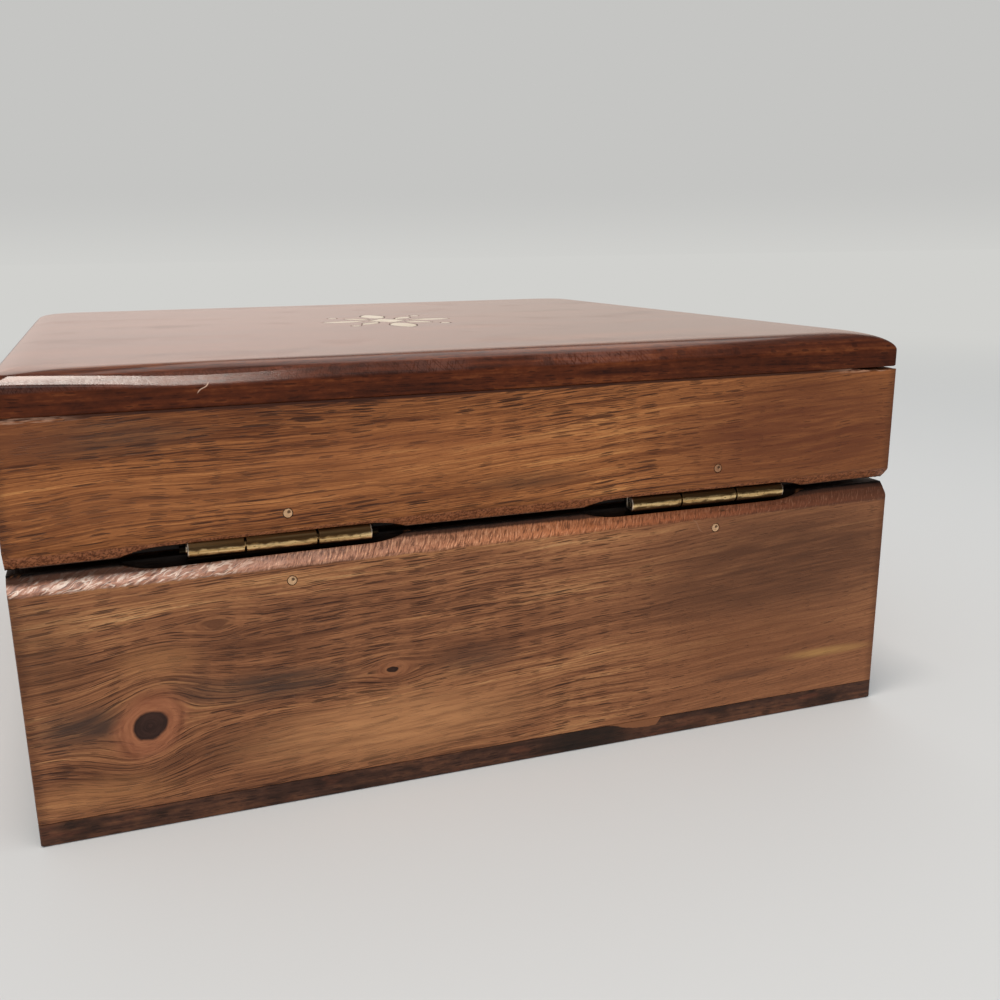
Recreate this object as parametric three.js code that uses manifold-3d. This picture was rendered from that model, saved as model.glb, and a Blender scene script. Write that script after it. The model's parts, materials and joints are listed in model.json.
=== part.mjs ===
// A square wooden trinket box with a hinged lid, in millimetres, +Z up.
//
// The base is four mitred walls on a thin dark bottom board. The lid is four more walls under a
// thicker board with rounded edges and a small pale inlay. Two brass hinges stand in saw kerfs in
// the back walls, and each of their leaves is held by one pin driven in from behind.
//
// The origin is on the table under the middle of the box. The front faces -Y, the hinges are at +Y,
// and left (-X) and right (+X) are as seen from the front.

import * as THREE from "three";
import { mergeVertices } from "three/addons/utils/BufferGeometryUtils.js";
import Module from "manifold-3d";

const wasm = await Module();
wasm.setup();

// Case
const boxWidth = 150;
const boxDepth = 150;
const wallThickness = 9;
const bottomBoardThickness = 3.6;
const baseRimHeight = 42.8;
const lidWallHeight = 20.7;
const topBoardThickness = 6;
const topBoardEdgeInset = 6.5;
const topBoardEdgeDrop = 3.2;
const topBoardCornerRadius = 0.8;

// Seam between lid and base, which is wider at the hinges, and the chamfers that let the lid open
const seamGapBack = 0.9;
const seamGapFront = 0.3;
const chamferPastAxis = 0.1;
const chamferHeight = 2.5;

// Hinges. They stand a little off the middle of the box, and so do the recesses, the other way.
const hingeSpacing = 74;
const hingeShift = -0.7;
const recessShift = 1.2;
const hingeLength = 30;
const centreKnuckleLength = 10.6;
const knuckleGap = 0.3;
const barrelRadius = 1.35;
const barrelInset = 1.9;
const hingePinRadius = 0.6;
const runningClearance = 0.1;
const leafThickness = 0.6;
const leafReach = 6.6;

// Kerfs for the leaves, and the recesses round the barrels that open to the back
const kerfClearance = 0.3;
const sawBladeRadius = 25;
const recessRunOut = 6.4;
const recessHeight = 1.6;

// Pins through the back walls and the leaves, a little to the left of each hinge's middle
const leafPinRadius = 0.7;
const leafPinClearance = 0.1;
const leafPinShift = -1;
const leafPinEdgeDistance = 1.3;
const leafPinTipCover = 1.6;

// Inlay in the top board, a cross of leaves round a lozenge
const inlayDepth = 0.8;
const inlayOutline = 0.3;
const inlaySpacing = 1.2;
const lozengeLength = 12;
const lozengeWidth = 8;
const longLeafLength = 13;
const longLeafWidth = 5;
const shortLeafLength = 9;
const shortLeafWidth = 4;
const cornerLeafLength = 7;
const cornerLeafWidth = 2.8;
const cornerLeafRadius = 8.6;
const dotRadius = 1;
const dotRadiusFromCentre = 15.6;
const cornerAngle = THREE.MathUtils.degToRad(52);

// How finely round things are divided, and how far a cut runs past what it cuts
const roundSides = 24;
const bladeSides = 72;
const cornerSteps = 5;
const edgeSteps = 6;
const arcSteps = 8;
const overrun = 1;

// Places that follow from the sizes above
const halfWidth = boxWidth / 2;
const halfDepth = boxDepth / 2;
const innerHalfWidth = halfWidth - wallThickness;
const innerHalfDepth = halfDepth - wallThickness;
const lidRimHeight = baseRimHeight + seamGapBack;
const lidWallTop = lidRimHeight + lidWallHeight;
const boxHeight = lidWallTop + topBoardThickness;
const hingeAxisDepth = halfDepth - barrelInset;
const hingeAxisHeight = baseRimHeight + seamGapBack / 2;
const chamferDepth = barrelInset + chamferPastAxis;
const leafInnerFace = hingeAxisDepth - barrelRadius;
const kerfInnerFace = leafInnerFace - kerfClearance;
const kerfOuterFace = leafInnerFace + leafThickness + kerfClearance;
const leafPinTip = halfDepth - wallThickness + leafPinTipCover;
const leafPinDrop = leafReach - leafPinEdgeDistance;

const wallWood = new THREE.MeshStandardMaterial({ color: 0x82553a, roughness: 0.55, metalness: 0 });
const bottomWood = new THREE.MeshStandardMaterial({ color: 0x412b20, roughness: 0.6, metalness: 0 });
const topWood = new THREE.MeshStandardMaterial({ color: 0x552316, roughness: 0.25, metalness: 0 });
const brass = new THREE.MeshStandardMaterial({ color: 0xb08d57, roughness: 0.4, metalness: 1 });
const inlayResin = new THREE.MeshStandardMaterial({ color: 0xe6dcc4, roughness: 0.35, metalness: 0 });

// Closed solids, and the way back to a mesh
function toSolid(geometry) {
  const bare = geometry.clone();
  bare.deleteAttribute("normal");
  bare.deleteAttribute("uv");
  const merged = mergeVertices(bare);
  const vertProperties = Float32Array.from(merged.attributes.position.array);
  const triVerts = Uint32Array.from(merged.index.array);
  return new wasm.Manifold(new wasm.Mesh({ numProp: 3, vertProperties, triVerts }));
}

function toMesh(name, solid, material) {
  const { vertProperties, triVerts } = solid.getMesh();
  const geometry = new THREE.BufferGeometry();
  geometry.setAttribute("position", new THREE.BufferAttribute(vertProperties, 3));
  geometry.setIndex(new THREE.BufferAttribute(triVerts, 1));
  geometry.computeVertexNormals();
  const mesh = new THREE.Mesh(geometry, material);
  mesh.name = name;
  return mesh;
}

// Outlines in a plane
function shapeOf(points) {
  return new THREE.Shape(points.map(([across, up]) => new THREE.Vector2(across, up)));
}

function circle(radius, sides = roundSides, centre = [0, 0]) {
  const points = [];
  for (let side = 0; side < sides; side += 1) {
    const angle = (2 * Math.PI * side) / sides;
    points.push([centre[0] + radius * Math.cos(angle), centre[1] + radius * Math.sin(angle)]);
  }
  return shapeOf(points);
}

// An outline swept straight along one axis. Its two coordinates lie along the other two axes, in
// the order X, Y, Z.
const sweepBases = {
  x: new THREE.Matrix4().makeBasis(
    new THREE.Vector3(0, 1, 0), new THREE.Vector3(0, 0, 1), new THREE.Vector3(1, 0, 0)),
  y: new THREE.Matrix4().makeBasis(
    new THREE.Vector3(1, 0, 0), new THREE.Vector3(0, 0, 1), new THREE.Vector3(0, -1, 0)),
  z: new THREE.Matrix4(),
};

function sweep(axis, shape, from, to) {
  const geometry = new THREE.ExtrudeGeometry(shape, { depth: to - from, bevelEnabled: false });
  geometry.applyMatrix4(sweepBases[axis]);
  const start = { x: [from, 0, 0], y: [0, to, 0], z: [0, 0, from] }[axis];
  return toSolid(geometry.translate(...start));
}

// Walls, mitred at the corners. The corners run anticlockwise from the front left.
const outerCorners = [[-1, -1], [1, -1], [1, 1], [-1, 1]].map(([x, y]) => [x * halfWidth, y * halfDepth]);
const innerCorners = [[-1, -1], [1, -1], [1, 1], [-1, 1]].map(
  ([x, y]) => [x * innerHalfWidth, y * innerHalfDepth]);
const wallSides = ["front", "right", "back", "left"];

function mitredWall(side, low, high) {
  const start = wallSides.indexOf(side);
  const end = (start + 1) % wallSides.length;
  const outline = [outerCorners[start], outerCorners[end], innerCorners[end], innerCorners[start]];
  return sweep("z", shapeOf(outline), low, high);
}

// What is cut away above the base's rim and below the lid's. rimSide is -1 for the base, whose
// wood lies below its rim, and 1 for the lid.
function chamferCut(rimHeight, rimSide) {
  const slope = (rimSide * chamferHeight) / chamferDepth;
  const inner = [halfDepth - chamferDepth - overrun, rimHeight - slope * overrun];
  const outer = [halfDepth + overrun, rimHeight + slope * (chamferDepth + overrun)];
  const corner = [outer[0], inner[1]];
  return sweep("x", shapeOf([inner, outer, corner]), -halfWidth - overrun, halfWidth + overrun);
}

function seamCut() {
  const rise = (seamGapBack - seamGapFront) / boxDepth;
  const front = [-halfDepth - overrun, baseRimHeight + seamGapFront - rise * overrun];
  const back = [halfDepth + overrun, lidRimHeight + rise * overrun];
  const below = baseRimHeight - overrun;
  const outline = [[front[0], below], [back[0], below], back, front];
  return sweep("x", shapeOf(outline), -halfWidth - overrun, halfWidth + overrun);
}

// A kerf has the round bottom that the saw blade leaves. The blade goes in until the leaf's far
// corners just clear it.
function kerfCut(hingeX, rimSide) {
  const bladeToLeafEnd = Math.sqrt((sawBladeRadius - kerfClearance) ** 2 - (hingeLength / 2) ** 2);
  const centre = [hingeX, hingeAxisHeight + rimSide * (leafReach - bladeToLeafEnd)];
  return sweep("y", circle(sawBladeRadius, bladeSides, centre), kerfInnerFace, kerfOuterFace);
}

// A recess is flat along the barrel and runs out in an arc at either end.
function recessCut(recessX, rimHeight, rimSide) {
  const flatEnd = hingeLength / 2 + kerfClearance;
  const arcRadius = (recessRunOut ** 2 + recessHeight ** 2) / (2 * recessHeight);
  const fullAngle = Math.asin(recessRunOut / arcRadius);
  const rightHalf = [[flatEnd + recessRunOut, -overrun]];
  for (let step = arcSteps; step >= 0; step -= 1) {
    const angle = (fullAngle * step) / arcSteps;
    rightHalf.push([
      flatEnd + arcRadius * Math.sin(angle),
      recessHeight - arcRadius * (1 - Math.cos(angle)),
    ]);
  }
  const leftHalf = rightHalf.map(([x, depth]) => [-x, depth]).reverse();
  const outline = [...rightHalf, ...leftHalf].map(
    ([x, depth]) => [recessX + x, rimHeight + rimSide * depth]);
  return sweep("y", shapeOf(outline), kerfInnerFace, halfDepth + overrun);
}

function leafPinCut(hingeX, rimSide) {
  const centre = [hingeX + leafPinShift, hingeAxisHeight + rimSide * leafPinDrop];
  const bore = circle(leafPinRadius + leafPinClearance, roundSides, centre);
  return sweep("y", bore, leafPinTip - leafPinClearance, halfDepth + overrun);
}

const hinges = [
  { side: "left", x: hingeShift - hingeSpacing / 2, recessX: recessShift - hingeSpacing / 2 },
  { side: "right", x: hingeShift + hingeSpacing / 2, recessX: recessShift + hingeSpacing / 2 },
];

function hingeCuts(rimHeight, rimSide) {
  const cuts = [];
  for (const { x, recessX } of hinges) {
    cuts.push(kerfCut(x, rimSide));
    cuts.push(recessCut(recessX, rimHeight, rimSide));
    cuts.push(leafPinCut(x, rimSide));
  }
  return cuts;
}

function subtractAll(solid, cuts) {
  return cuts.reduce((rest, cut) => rest.subtract(cut), solid);
}

function makeWalls(prefix, low, high, rimHeight, rimSide, extraCuts) {
  const walls = [];
  for (const side of wallSides) {
    const cuts = [...extraCuts];
    if (side !== "front") cuts.push(chamferCut(rimHeight, rimSide));
    if (side === "back") cuts.push(...hingeCuts(rimHeight, rimSide));
    const solid = subtractAll(mitredWall(side, low, high), cuts);
    walls.push(toMesh(`${prefix}_${side}_wall`, solid, wallWood));
  }
  return walls;
}

function makeBottomBoard() {
  const outline = shapeOf(outerCorners);
  return toMesh("bottom_board", sweep("z", outline, 0, bottomBoardThickness), bottomWood);
}

// The top board is a stack of rounded rectangles that draw in over its upper edge, and whose corners
// grow rounder as they do.
function roundedRectangle(inset, height) {
  const radius = topBoardCornerRadius + inset;
  const centreX = halfWidth - inset - radius;
  const centreY = halfDepth - inset - radius;
  const points = [];
  const corners = [[1, 1], [-1, 1], [-1, -1], [1, -1]];
  corners.forEach(([signX, signY], corner) => {
    for (let step = 0; step <= cornerSteps; step += 1) {
      const angle = (Math.PI / 2) * (corner + step / cornerSteps);
      points.push([
        signX * centreX + radius * Math.cos(angle),
        signY * centreY + radius * Math.sin(angle),
        height,
      ]);
    }
  });
  return points;
}

function stackOfRings(rings) {
  const count = rings[0].length;
  const last = rings.length - 1;
  const positions = rings.flat(2);
  const bottomCentre = rings.length * count;
  const topCentre = bottomCentre + 1;
  positions.push(0, 0, rings[0][0][2], 0, 0, rings[last][0][2]);
  const triangles = [];
  for (let here = 0; here < count; here += 1) {
    const next = (here + 1) % count;
    triangles.push(bottomCentre, next, here);
    triangles.push(topCentre, last * count + here, last * count + next);
    for (let ring = 0; ring < last; ring += 1) {
      const lower = ring * count;
      const upper = lower + count;
      triangles.push(lower + here, lower + next, upper + next);
      triangles.push(lower + here, upper + next, upper + here);
    }
  }
  const geometry = new THREE.BufferGeometry();
  geometry.setAttribute("position", new THREE.Float32BufferAttribute(positions, 3));
  geometry.setIndex(triangles);
  return toSolid(geometry);
}

function topBoardBlank() {
  const rings = [roundedRectangle(0, lidWallTop)];
  for (let step = 0; step <= edgeSteps; step += 1) {
    const angle = (Math.PI / 2) * (step / edgeSteps);
    const inset = topBoardEdgeInset * (1 - Math.cos(angle));
    const height = boxHeight - topBoardEdgeDrop * (1 - Math.sin(angle));
    rings.push(roundedRectangle(inset, height));
  }
  return stackOfRings(rings);
}

// Inlay outlines, lengthwise along X. grow widens the outline by the same amount all round.
function leafOutline(length, width, grow) {
  const arcRadius = (length ** 2 + width ** 2) / (4 * width);
  const centreOffset = arcRadius - width / 2;
  const grownRadius = arcRadius + grow;
  const halfAngle = Math.acos(centreOffset / grownRadius);
  const points = [];
  for (const side of [-1, 1]) {
    for (let step = 0; step < arcSteps; step += 1) {
      const angle = halfAngle * ((2 * step) / arcSteps - 1);
      points.push([
        -side * grownRadius * Math.sin(angle),
        side * (grownRadius * Math.cos(angle) - centreOffset),
      ]);
    }
  }
  return points;
}

function lozengeOutline(length, width, grow) {
  const growth = 1 + (2 * grow * Math.hypot(length, width)) / (length * width);
  const halfLong = (growth * length) / 2;
  const halfWide = (growth * width) / 2;
  return [[halfLong, 0], [0, halfWide], [-halfLong, 0], [0, -halfWide]];
}

function dotOutline(radius, grow) {
  return circle(radius + grow, roundSides).getPoints().map(({ x, y }) => [x, y]);
}

// Each piece of the inlay has a name, an outline, the angle it points along and how far out it lies.
function inlayPieces() {
  const longReach = lozengeLength / 2 + inlaySpacing + longLeafLength / 2;
  const shortReach = lozengeWidth / 2 + inlaySpacing + shortLeafLength / 2;
  const longLeaf = (grow) => leafOutline(longLeafLength, longLeafWidth, grow);
  const shortLeaf = (grow) => leafOutline(shortLeafLength, shortLeafWidth, grow);
  const cornerLeaf = (grow) => leafOutline(cornerLeafLength, cornerLeafWidth, grow);
  const dot = (grow) => dotOutline(dotRadius, grow);
  const quarter = Math.PI / 2;
  const pieces = [
    { name: "lozenge", outline: (grow) => lozengeOutline(lozengeLength, lozengeWidth, grow),
      angle: quarter, reach: 0 },
    { name: "leaf_right", outline: shortLeaf, angle: 0, reach: shortReach },
    { name: "leaf_back", outline: longLeaf, angle: quarter, reach: longReach },
    { name: "leaf_left", outline: shortLeaf, angle: 2 * quarter, reach: shortReach },
    { name: "leaf_front", outline: longLeaf, angle: 3 * quarter, reach: longReach },
  ];
  const corners = [
    { name: "back_right", angle: cornerAngle },
    { name: "back_left", angle: 2 * quarter - cornerAngle },
    { name: "front_left", angle: 2 * quarter + cornerAngle },
    { name: "front_right", angle: -cornerAngle },
  ];
  for (const { name, angle } of corners) {
    pieces.push({ name: `leaf_${name}`, outline: cornerLeaf, angle, reach: cornerLeafRadius });
    pieces.push({ name: `dot_${name}`, outline: dot, angle, reach: dotRadiusFromCentre });
  }
  return pieces;
}

function inlaySolid({ outline, angle, reach }, grow, top) {
  const cosine = Math.cos(angle);
  const sine = Math.sin(angle);
  const placed = outline(grow).map(([along, across]) => [
    (along + reach) * cosine - across * sine,
    (along + reach) * sine + across * cosine,
  ]);
  return sweep("z", shapeOf(placed), boxHeight - inlayDepth, top);
}

function makeTopBoard() {
  const pockets = inlayPieces().map((piece) => inlaySolid(piece, inlayOutline, boxHeight + overrun));
  return toMesh("lid_top_board", subtractAll(topBoardBlank(), pockets), topWood);
}

function makeInlay() {
  return inlayPieces().map(
    (piece) => toMesh(`inlay_${piece.name}`, inlaySolid(piece, 0, boxHeight), inlayResin));
}

// Hinges, modelled about their own axis at the middle of the barrel. leafSide is -1 for the leaf in
// the base and 1 for the leaf in the lid.
function knuckleSpans(leafSide) {
  const centreEnd = centreKnuckleLength / 2;
  if (leafSide < 0) return [[-centreEnd, centreEnd]];
  const outerStart = centreEnd + knuckleGap;
  return [[-hingeLength / 2, -outerStart], [outerStart, hingeLength / 2]];
}

function rectangle(acrossLow, upLow, acrossHigh, upHigh) {
  return shapeOf([[acrossLow, upLow], [acrossHigh, upLow], [acrossHigh, upHigh], [acrossLow, upHigh]]);
}

function hingeLeaf(leafSide) {
  const innerFace = -barrelRadius;
  const outerFace = innerFace + leafThickness;
  const plateStart = leafSide * (barrelRadius + knuckleGap);
  const plateEnd = leafSide * leafReach;
  const plate = rectangle(
    -hingeLength / 2, Math.min(plateStart, plateEnd), hingeLength / 2, Math.max(plateStart, plateEnd));
  let leaf = sweep("y", plate, innerFace, outerFace);
  for (const [start, end] of knuckleSpans(leafSide)) {
    const tab = rectangle(start, Math.min(0, plateEnd), end, Math.max(0, plateEnd));
    leaf = leaf.add(sweep("y", tab, innerFace, outerFace));
    leaf = leaf.add(sweep("x", circle(barrelRadius), start, end));
  }
  const bore = circle(hingePinRadius + runningClearance);
  const leafPinBore = circle(
    leafPinRadius + leafPinClearance, roundSides, [leafPinShift, leafSide * leafPinDrop]);
  return subtractAll(leaf, [
    sweep("x", bore, -hingeLength, hingeLength),
    sweep("y", leafPinBore, innerFace - overrun, outerFace + overrun),
  ]);
}

function atHinge(mesh, x) {
  mesh.position.set(x, hingeAxisDepth, hingeAxisHeight);
  return mesh;
}

function makeHingeLeaves(prefix, leafSide) {
  return hinges.map(
    ({ side, x }) => atHinge(toMesh(`hinge_leaf_${prefix}_${side}`, hingeLeaf(leafSide), brass), x));
}

function makeHingePins() {
  const pin = sweep("x", circle(hingePinRadius), -hingeLength / 2, hingeLength / 2);
  return hinges.map(({ side, x }) => atHinge(toMesh(`hinge_pin_${side}`, pin, brass), x));
}

function makeLeafPins(prefix, rimSide) {
  const centre = [leafPinShift, hingeAxisHeight + rimSide * leafPinDrop];
  const pin = sweep("y", circle(leafPinRadius, roundSides, centre), leafPinTip, halfDepth);
  return hinges.map(({ side, x }) => {
    const mesh = toMesh(`leaf_pin_${prefix}_${side}`, pin, brass);
    mesh.position.x = x;
    return mesh;
  });
}

const base = new THREE.Group();
base.add(makeBottomBoard());
base.add(...makeWalls("base", bottomBoardThickness, baseRimHeight, baseRimHeight, -1, []));
base.add(...makeHingeLeaves("base", -1));
base.add(...makeHingePins());
base.add(...makeLeafPins("base", -1));

const lid = new THREE.Group();
lid.add(makeTopBoard());
lid.add(...makeWalls("lid", baseRimHeight, lidWallTop, lidRimHeight, 1, [seamCut()]));
lid.add(...makeInlay());
lid.add(...makeHingeLeaves("lid", 1));
lid.add(...makeLeafPins("lid", 1));

const trinketBox = new THREE.Group();
trinketBox.add(base, lid);
export default trinketBox;
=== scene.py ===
"""Blender scene of a square wooden trinket box with a hinged lid, seen from behind and above.

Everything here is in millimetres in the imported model's frame, and turns into metres as a mesh is
made. The front faces -Y, the hinges are at +Y, and left (-X) and right (+X) are as seen from the
front. The camera stands behind the box, so +X is on the left of the picture.
"""

import json
import math

import bmesh
import bpy
import numpy as np
from mathutils import Matrix, Vector


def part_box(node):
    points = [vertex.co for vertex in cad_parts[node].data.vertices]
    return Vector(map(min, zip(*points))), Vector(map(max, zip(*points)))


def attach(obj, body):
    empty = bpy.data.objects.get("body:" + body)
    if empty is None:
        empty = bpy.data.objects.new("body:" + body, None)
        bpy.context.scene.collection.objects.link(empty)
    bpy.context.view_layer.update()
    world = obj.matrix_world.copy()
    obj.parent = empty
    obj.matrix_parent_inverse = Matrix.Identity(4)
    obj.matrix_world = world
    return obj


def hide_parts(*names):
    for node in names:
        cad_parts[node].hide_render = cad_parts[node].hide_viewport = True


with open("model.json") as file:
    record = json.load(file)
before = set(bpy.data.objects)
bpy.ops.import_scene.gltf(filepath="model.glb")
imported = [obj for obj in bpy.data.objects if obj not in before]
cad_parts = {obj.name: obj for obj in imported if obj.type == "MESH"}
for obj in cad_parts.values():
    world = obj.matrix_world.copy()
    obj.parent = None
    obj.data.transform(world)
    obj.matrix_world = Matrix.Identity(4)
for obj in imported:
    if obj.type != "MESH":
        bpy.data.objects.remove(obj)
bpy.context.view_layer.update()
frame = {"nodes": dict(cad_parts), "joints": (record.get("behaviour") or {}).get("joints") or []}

MM = 0.001


def node_box(node):
    """A CAD node's lowest and highest corner, in mm."""
    return [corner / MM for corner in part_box(node)]


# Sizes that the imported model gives
WALL_LOW, WALL_HIGH = node_box("base_back_wall")
LID_LOW, LID_HIGH = node_box("lid_back_wall")
SEAM_IN_FRONT = node_box("lid_front_wall")[0].z
BOARD_LOW, BOARD_HIGH = node_box("lid_top_board")
BARREL_LOW, BARREL_HIGH = node_box("hinge_leaf_base_right")
LEFT_BARREL_LOW, LEFT_BARREL_HIGH = node_box("hinge_leaf_base_left")
LEAF_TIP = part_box("hinge_leaf_lid_right")[1].z / MM
PIN_LOW, PIN_HIGH = node_box("leaf_pin_base_right")
LID_PIN_LOW, LID_PIN_HIGH = node_box("leaf_pin_lid_right")
BASE_PIN_Z = (PIN_LOW.z + PIN_HIGH.z) / 2
LID_PIN_Z = (LID_PIN_LOW.z + LID_PIN_HIGH.z) / 2
AXIS = Vector(frame["joints"][0]["pos_m"]) / MM
HALF = WALL_HIGH.y
INNER = WALL_LOW.y
RIM = WALL_HIGH.z
LID_RIM = LID_LOW.z
TOP = BOARD_HIGH.z
HINGES = {
    "left": (LEFT_BARREL_LOW.x + LEFT_BARREL_HIGH.x) / 2,
    "right": (BARREL_LOW.x + BARREL_HIGH.x) / 2,
}
HINGE_LENGTH = BARREL_HIGH.x - BARREL_LOW.x
PIN_RADIUS = (PIN_HIGH.x - PIN_LOW.x) / 2
PIN_SHIFT = (PIN_LOW.x + PIN_HIGH.x) / 2 - HINGES["right"]

# Sizes that it doesn't give
CHAMFER_DEPTH = 2.0
CHAMFER_HEIGHT = {"base": 2.85, "lid": 2.5}
CHAMFER_LEAN = 0.005
CHAMFER_WAVER = 0.12
CHAMFER_WAVER_LENGTH = 2.4
BARREL_RADIUS = 1.35
LEAF_THICKNESS = 0.6
CENTRE_KNUCKLE = 10.6
KNUCKLE_GAP = 0.3
KNUCKLE_OVERLAP = 0.4
KNUCKLE_WRAP = 300
KERF_CLEARANCE = 0.3
SAW_RADIUS = 25.0
RECESS_X = (-35.8, 38.2)
RECESS_RUN_OUT = 6.4
RECESS_HEIGHT = {"base": 1.6, "lid": 1.3}
RECESS_LIP_SHARE = {"base": 0.62, "lid": 1.0}
KNUCKLE_TRIM = {"left": 0.0, "right": 1.1}
SEAM_SAG = 0.3
SEAM_SAG_RUN = (-72.0, -45.0)
SEAM_TILT = 0.6
SEAM_TILT_RUN = (10.0, 75.0)
PIN_CLEARANCE = 0.1
PIN_DROP = {"left": 0.0, "right": 0.8}
# A leaf pin's radius share, place along Y and sideways shift share, from its tip to its pitted end
PIN_PROFILE = (
    (0.0, PIN_LOW.y, 0.0), (0.9, PIN_LOW.y, 0.0), (1.0, PIN_LOW.y + 0.1, 0.0),
    (1.0, HALF - 0.06, 0.0), (0.93, HALF, 0.0), (0.46, HALF, 0.22), (0.34, HALF - 0.12, 0.25),
    (0.0, HALF - 0.18, 0.27),
)
CORNER_ROUNDING = 0.45
EDGE_SOFTENING = 0.25
EDGE_WEAR = {"leaf": 0.08, "hinge_pin": 0.1, "inlay": 0.06}
BOARD_EDGE_INSET = 6.5
BOARD_EDGE_DROP = 3.2
BOARD_EDGE_REST = 0.5
BOARD_FOOT_CUT = 0.15
BOARD_CORNER_RADIUS = 0.8
BOARD_FACET = (14, 40)
FACET_RUN = (-25.0, 15.0)
FACET_LIFT = 0.75
FACET_LIFT_RUN = (52.0, 75.0)
FACET_SAG = 0.4
FACET_SAG_RUNS = (26.0, 42.0), (46.0, 60.0)
DARK_BAND_DEPTH = 0.42
DIP_DEPTH = 1.8
CORNER_GAP = 0.5
CORNER_GAP_START = (-66.0, 69.0)
CORNER_GAP_RUN = 2.5
CORNER_GAP_RISE = 1.5
INLAY_DEPTH = 0.8
INLAY_LINE = 0.3
CUT_PAST = 1.0

# How finely the meshes are divided. A wall's columns are a step and the last places along it, and
# its section has a number of steps for each side, of which the second is the chamfer.
MITRE_START = 60
EVEN_COLUMNS = 2.0, (62, 64.5, 67, 69.5, 71.5, 73, 73.7, 74.1, 74.4, 74.7)
FINE_COLUMNS = 0.25, (74.25, 74.5, 74.75)
SECTION_SPANS = {True: (8, 12, 2, 3, 1, 3, 4, 4, 8), False: (8, 3, 2, 3, 1, 3, 4, 4, 8)}
CHAMFER_SPAN = 1
BOTTOM_CORNER_STEPS = 5
TOP_CORNER_STEPS = 12
TOP_BACK_STEPS = 40
BOARD_EDGE_DEGREES = (
    *range(0, BOARD_FACET[0], 4), *range(*BOARD_FACET, 5), *range(BOARD_FACET[1], 91, 5))
KNUCKLE_STEPS = 40
PIN_SIDES = 28
BORE_SIDES = 32

# Angles in degrees from which an edge stays sharp, or gets a bevel
WOOD_CREASE = 40
LEAF_CREASE = 45
FINE_CREASE = 50
BEVEL_FROM = 40

# How far a grown outline's sharp corners may run out, and heights in m that count as the same
SHARPEST_SPREAD = 0.45
SAME_HEIGHT = 1e-5

# Each part's rim, the way from it into the part, and its walls' far end
RIMS = {"base": (RIM, -1, WALL_LOW.z), "lid": (LID_RIM, 1, LID_HIGH.z)}


# Fields over a surface, as shader nodes

def connect(tree, value, socket):
    """Feeds a socket with a field, a node's output, or a plain number or colour."""
    if isinstance(value, Field):
        value = value.socket
    if isinstance(value, bpy.types.NodeSocket):
        tree.links.new(value, socket)
    else:
        socket.default_value = value


class Field:
    """A number that varies over a surface, with the arithmetic that combines it with others."""

    def __init__(self, tree, socket):
        self.tree = tree
        self.socket = socket

    def math(self, operation, *others):
        node = self.tree.nodes.new("ShaderNodeMath")
        node.operation = operation
        for place, value in enumerate((self, *others)):
            connect(self.tree, value, node.inputs[place])
        return Field(self.tree, node.outputs[0])

    def __add__(self, other):
        return self.math("ADD", other)

    def __sub__(self, other):
        return self.math("SUBTRACT", other)

    def __mul__(self, other):
        return self.math("MULTIPLY", other)

    def __truediv__(self, other):
        return self.math("DIVIDE", other)

    def __neg__(self):
        return self * -1.0

    __radd__ = __add__
    __rmul__ = __mul__

    def __rsub__(self, other):
        return -self + other

    def between(self, low, high):
        """0 where the field is at or below low, 1 at or above high, and a soft step between."""
        node = self.tree.nodes.new("ShaderNodeMapRange")
        node.interpolation_type = "SMOOTHSTEP"
        connect(self.tree, self, node.inputs["Value"])
        connect(self.tree, low, node.inputs["From Min"])
        connect(self.tree, high, node.inputs["From Max"])
        return Field(self.tree, node.outputs["Result"])

    def ramp(self, *stops):
        """The colour that the field picks from stops of (value, colour)."""
        node = self.tree.nodes.new("ShaderNodeValToRGB")
        elements = node.color_ramp.elements
        while len(elements) < len(stops):
            elements.new(1.0)
        for element, (place, tint) in zip(elements, stops):
            element.position = place
            element.color = tint
        connect(self.tree, self, node.inputs["Fac"])
        return node.outputs["Color"]


def colour(red, green, blue):
    """A colour for a socket, from the values from 0 to 255 that it has on a screen."""
    channels = (channel / 255 for channel in (red, green, blue))
    linear = [c / 12.92 if c <= 0.04045 else ((c + 0.055) / 1.055) ** 2.4 for c in channels]
    return (*linear, 1.0)


def mixed(tree, amount, below, above):
    """The colour below where amount is 0, and above where it is 1."""
    node = tree.nodes.new("ShaderNodeMix")
    node.data_type = "RGBA"
    connect(tree, amount, node.inputs[0])
    connect(tree, below, node.inputs[6])
    connect(tree, above, node.inputs[7])
    return node.outputs[2]


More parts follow.
